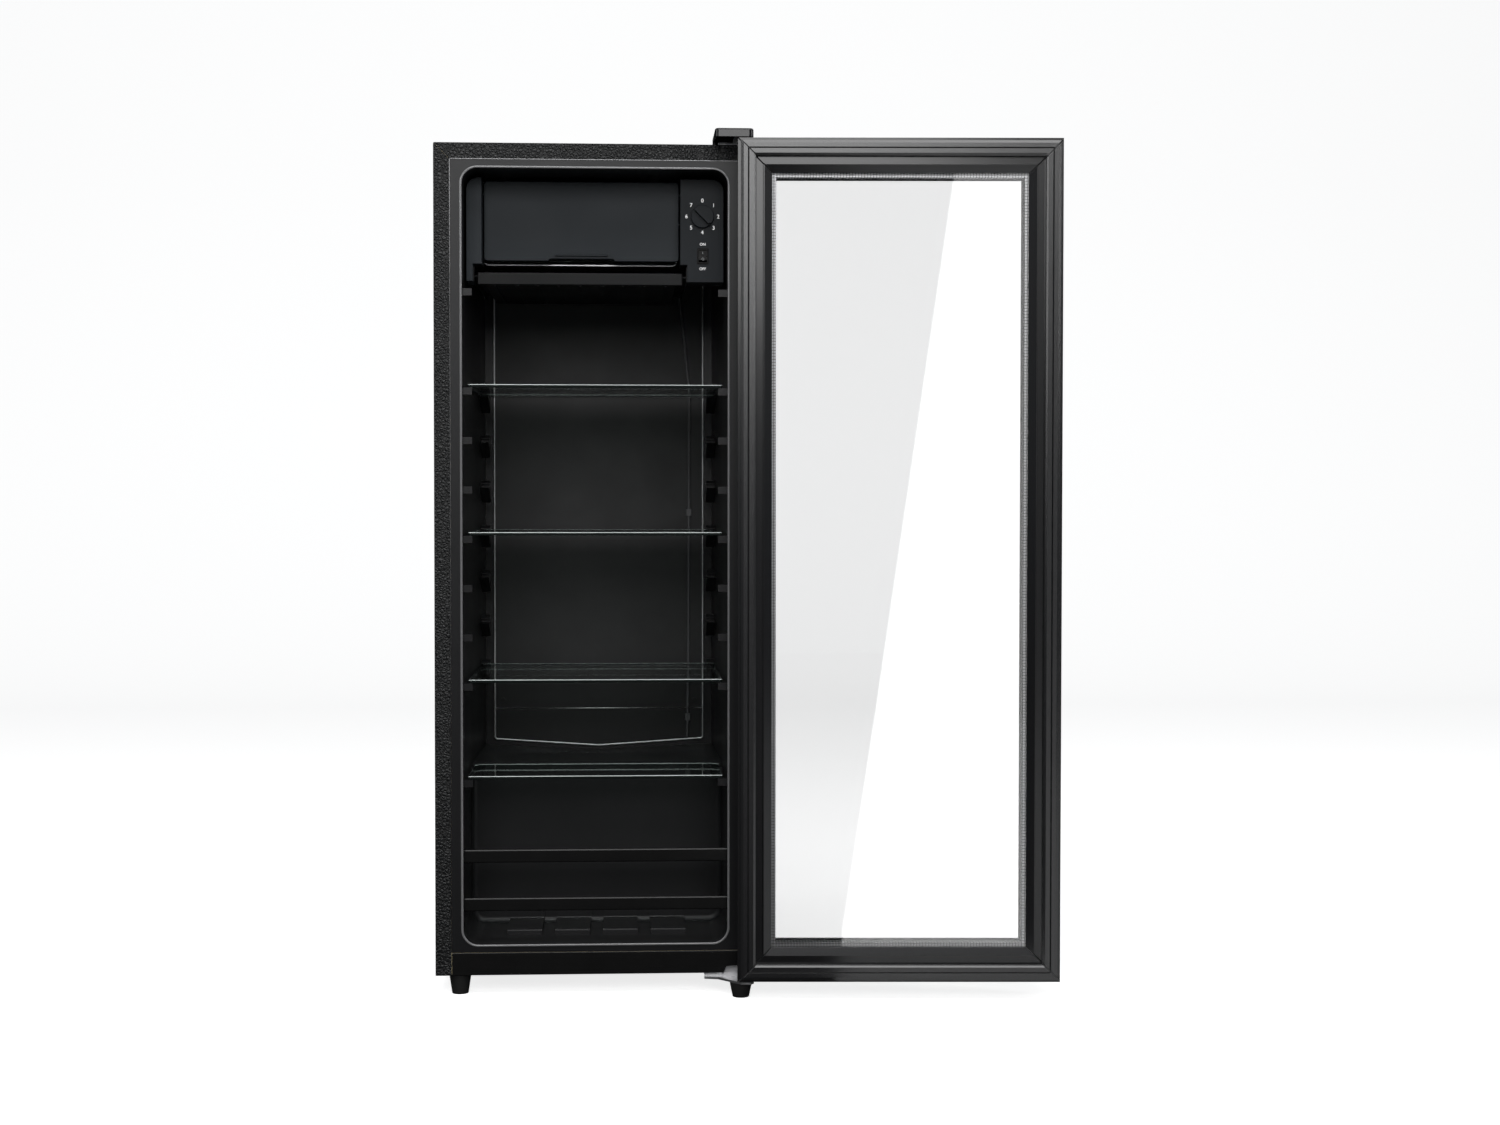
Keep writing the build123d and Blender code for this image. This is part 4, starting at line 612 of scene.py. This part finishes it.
# %% Paths with rounded corners
def rounded_path(corners, radii, closed, arc_steps=14):
    """Points (x, z) along straight runs joined by tangent arcs, with the outward normal at each point."""
    corners = np.array(corners, dtype=float)
    count = len(corners)
    points, normals = [], []
    for i in range(count):
        if not closed and i in (0, count - 1):
            j = (0, 1) if i == 0 else (count - 2, count - 1)
            run = corners[j[1]] - corners[j[0]]
            run = run / np.linalg.norm(run)
            points.append(corners[i])
            normals.append(np.array([-run[1], run[0]]))
            continue
        before = corners[i] - corners[i - 1]
        after = corners[(i + 1) % count] - corners[i]
        before, after = before / np.linalg.norm(before), after / np.linalg.norm(after)
        turn = math.acos(max(-1.0, min(1.0, float(before @ after))))
        side = -1.0 if before[0] * after[1] - before[1] * after[0] < 0 else 1.0
        inward = side * np.array([-before[1], before[0]])
        radius = radii[i]
        centre = corners[i] - before * radius * math.tan(turn / 2) + inward * radius
        sweep = np.linspace(0, turn, arc_steps) * side
        spoke = np.stack([-inward[0] * np.cos(sweep) + inward[1] * np.sin(sweep),
                          -inward[1] * np.cos(sweep) - inward[0] * np.sin(sweep)], axis=-1)
        points.extend(centre + radius * spoke)
        normals.extend(spoke * (1.0 if side < 0 else -1.0))
    return np.array(points), np.array(normals)


def moulding(name, corners, radii, y, across, proud, finish, closed=True, body="cabinet", around=16):
    """A bead of elliptical section, half-width `across` and height `proud`, along a rounded path."""
    path, outward = rounded_path(corners, radii, closed)
    v = np.linspace(0, 2 * np.pi, around, endpoint=False)
    swell = np.ones(len(path))
    if not closed:
        path = np.concatenate([path[:1], path, path[-1:]])
        outward = np.concatenate([outward[:1], outward, outward[-1:]])
        swell = np.concatenate([[1e-4], swell, [1e-4]])
    shift = (across * np.cos(v))[None, :, None] * outward[:, None, :] * swell[:, None, None]
    x = path[:, None, 0] + shift[..., 0]
    z = path[:, None, 1] + shift[..., 1]
    depth = y - proud * np.sin(v)[None, :] * swell[:, None]
    grid = np.stack([x, depth, z], axis=-1)
    piece = sheet_mesh(name, grid, close_u=closed, close_v=True)
    piece.data.materials.append(finish.material)
    piece.data.polygons.foreach_set("use_smooth", np.ones(len(piece.data.polygons), dtype=bool))
    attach(piece, body)
    return piece


# %% Lip, hem and plate edge
shell_low, shell_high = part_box("outer_casing")
front_y = shell_low[1]
fold = 0.0215
mouth_half, mouth_low, mouth_high, mouth_radius = 0.179, 0.0668, 1.1098, 0.022
mouth = [(-mouth_half, mouth_low), (-mouth_half, mouth_high), (mouth_half, mouth_high),
         (mouth_half, mouth_low)]
# The lip is pale grey, far paler than the black liner it belongs to: a painted highlight along the rim of the
# mouth.
lip_highlight_paint = moulded("lip_painted_highlight", (0.16, 0.16, 0.165), (0.22, 0.22, 0.225), 0.22, 300.0, 0.00001,
                   Specular_IOR_Level=1.0)
lip = moulding("liner_lip", mouth, [mouth_radius] * 4, front_y, 0.0016, 0.0013, lip_highlight_paint)
hem_metal = brushed("casing_cut_edge", (0.40, 0.40, 0.41), 0.35, (1.0, 1.0, 0.05))
window, window_top, kick_top = shell_high[0] - fold, shell_high[2] - fold, 0.0585
hem_path = [(-window, kick_top), (-window, window_top), (window, window_top), (window, kick_top)]
hem = moulding("casing_hem", hem_path, [0.0] + [0.0015] * 2 + [0.0], front_y, 0.0005, 0.0004, hem_metal,
               closed=False)
plate_low, plate_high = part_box("cold_plate")
plate_half, v_drop, plate_radius = plate_high[0], 0.0104, 0.004
edge_path = [(-plate_half, plate_low[2] + v_drop), (-plate_half, plate_high[2]), (plate_half, plate_high[2]),
             (plate_half, plate_low[2] + v_drop), (0.0, plate_low[2])]
plate_hem_metal = brushed("plate_hem", (0.85, 0.85, 0.85), 0.45, (1.0, 1.0, 0.05))
plate_hem = moulding("cold_plate_hem", edge_path, [plate_radius] * 5, plate_low[1] + 0.0004, 0.0013,
                     0.0012, plate_hem_metal)
leg_height, step_rise, crease_rise, end_gap = 0.0268, 0.2692, 0.0548, 0.001
crease_z = leg_height + step_rise + crease_rise
crease_path = [(-plate_half + end_gap, crease_z), (plate_half - end_gap, crease_z)]
crease_bead = moulding("cold_plate_crease", crease_path, [0.0, 0.0], plate_low[1] + 0.0002, 0.0007, 0.0006,
                       plate_hem_metal, closed=False)
print("mouldings:", [len(o.data.polygons) for o in (lip, hem, plate_hem, crease_bead)])

# %% [markdown]
# The dial's numbers run clockwise from 0 at the top to 7, an eighth of a turn apart. They are printed,
# so each is a flat letter made into a mesh and given a hair of thickness. The switch has ON above, OFF
# below, and the usual stroke and ring on the rocker itself.

# %% Printed marks
ink_with_painted_glow = moulded("printed_white_painted_glow", (0.84, 0.84, 0.84), (0.90, 0.90, 0.90), 0.5, 900.0, 0.00001)
# The white print also glows faintly: painted light that keeps the numbers and words bright.
ink_with_painted_glow.shader.inputs["Emission Color"].default_value = (1.0, 1.0, 1.0, 1.0)
ink_with_painted_glow.shader.inputs["Emission Strength"].default_value = 0.5
faint_ink = moulded("printed_grey", (0.30, 0.31, 0.32), (0.36, 0.37, 0.38), 0.5, 900.0, 0.00001)
knob_low, knob_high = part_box("thermostat_knob")
knob_at = ((knob_low[0] + knob_high[0]) / 2, (knob_low[2] + knob_high[2]) / 2)
switch_low, switch_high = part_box("switch_body")
switch_at = ((switch_low[0] + switch_high[0]) / 2, (switch_low[2] + switch_high[2]) / 2)
panel_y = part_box("control_housing")[0][1]


def printed(name, words, place, height, material, body="cabinet"):
    """Words lying in the XZ plane, centred on their place, facing -Y, a tenth of a millimetre thick."""
    text = bpy.data.curves.new(name, "FONT")
    text.body = words
    text.size = height / 0.7
    text.align_x, text.align_y = "CENTER", "CENTER"
    text.extrude = 0.00005
    stand = bpy.data.objects.new(name + "_curve", text)
    mesh = bpy.data.meshes.new_from_object(stand)
    bpy.data.objects.remove(stand)
    mesh.transform(Matrix.Translation(Vector(place)) @ Matrix.Rotation(math.pi / 2, 4, "X"))
    mesh.materials.clear()
    mesh.materials.append(material)
    piece = bpy.data.objects.new(name, mesh)
    scene.collection.objects.link(piece)
    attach(piece, body)
    return piece


for number in range(8):
    angle = math.radians(90 - 45 * number)
    x = knob_at[0] + 0.0216 * math.cos(angle)
    z = knob_at[1] + 0.0216 * math.sin(angle)
    piece = printed(f"dial_number_{number}", str(number), (x, panel_y - 0.00005, z), 0.0052, ink_with_painted_glow.material)
for words, up in (("ON", 0.0160), ("OFF", -0.0174)):
    word_at = (switch_at[0], panel_y - 0.00005, switch_at[1] + up)
    piece = printed("switch_word_" + words.lower(), words, word_at, 0.0036, ink_with_painted_glow.material)
rocker_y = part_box("switch_rocker")[0][1]
for words, up in (("I", 0.0038), ("O", -0.0046)):
    mark_y = rocker_y + 0.0005 - 0.0012 * (up < 0)
    piece = printed("rocker_mark_" + words.lower(), words, (switch_at[0], mark_y, switch_at[1] + up),
                    0.0034, faint_ink.material, body="rocker")
print("printed marks at the dial", [round(v, 4) for v in knob_at])
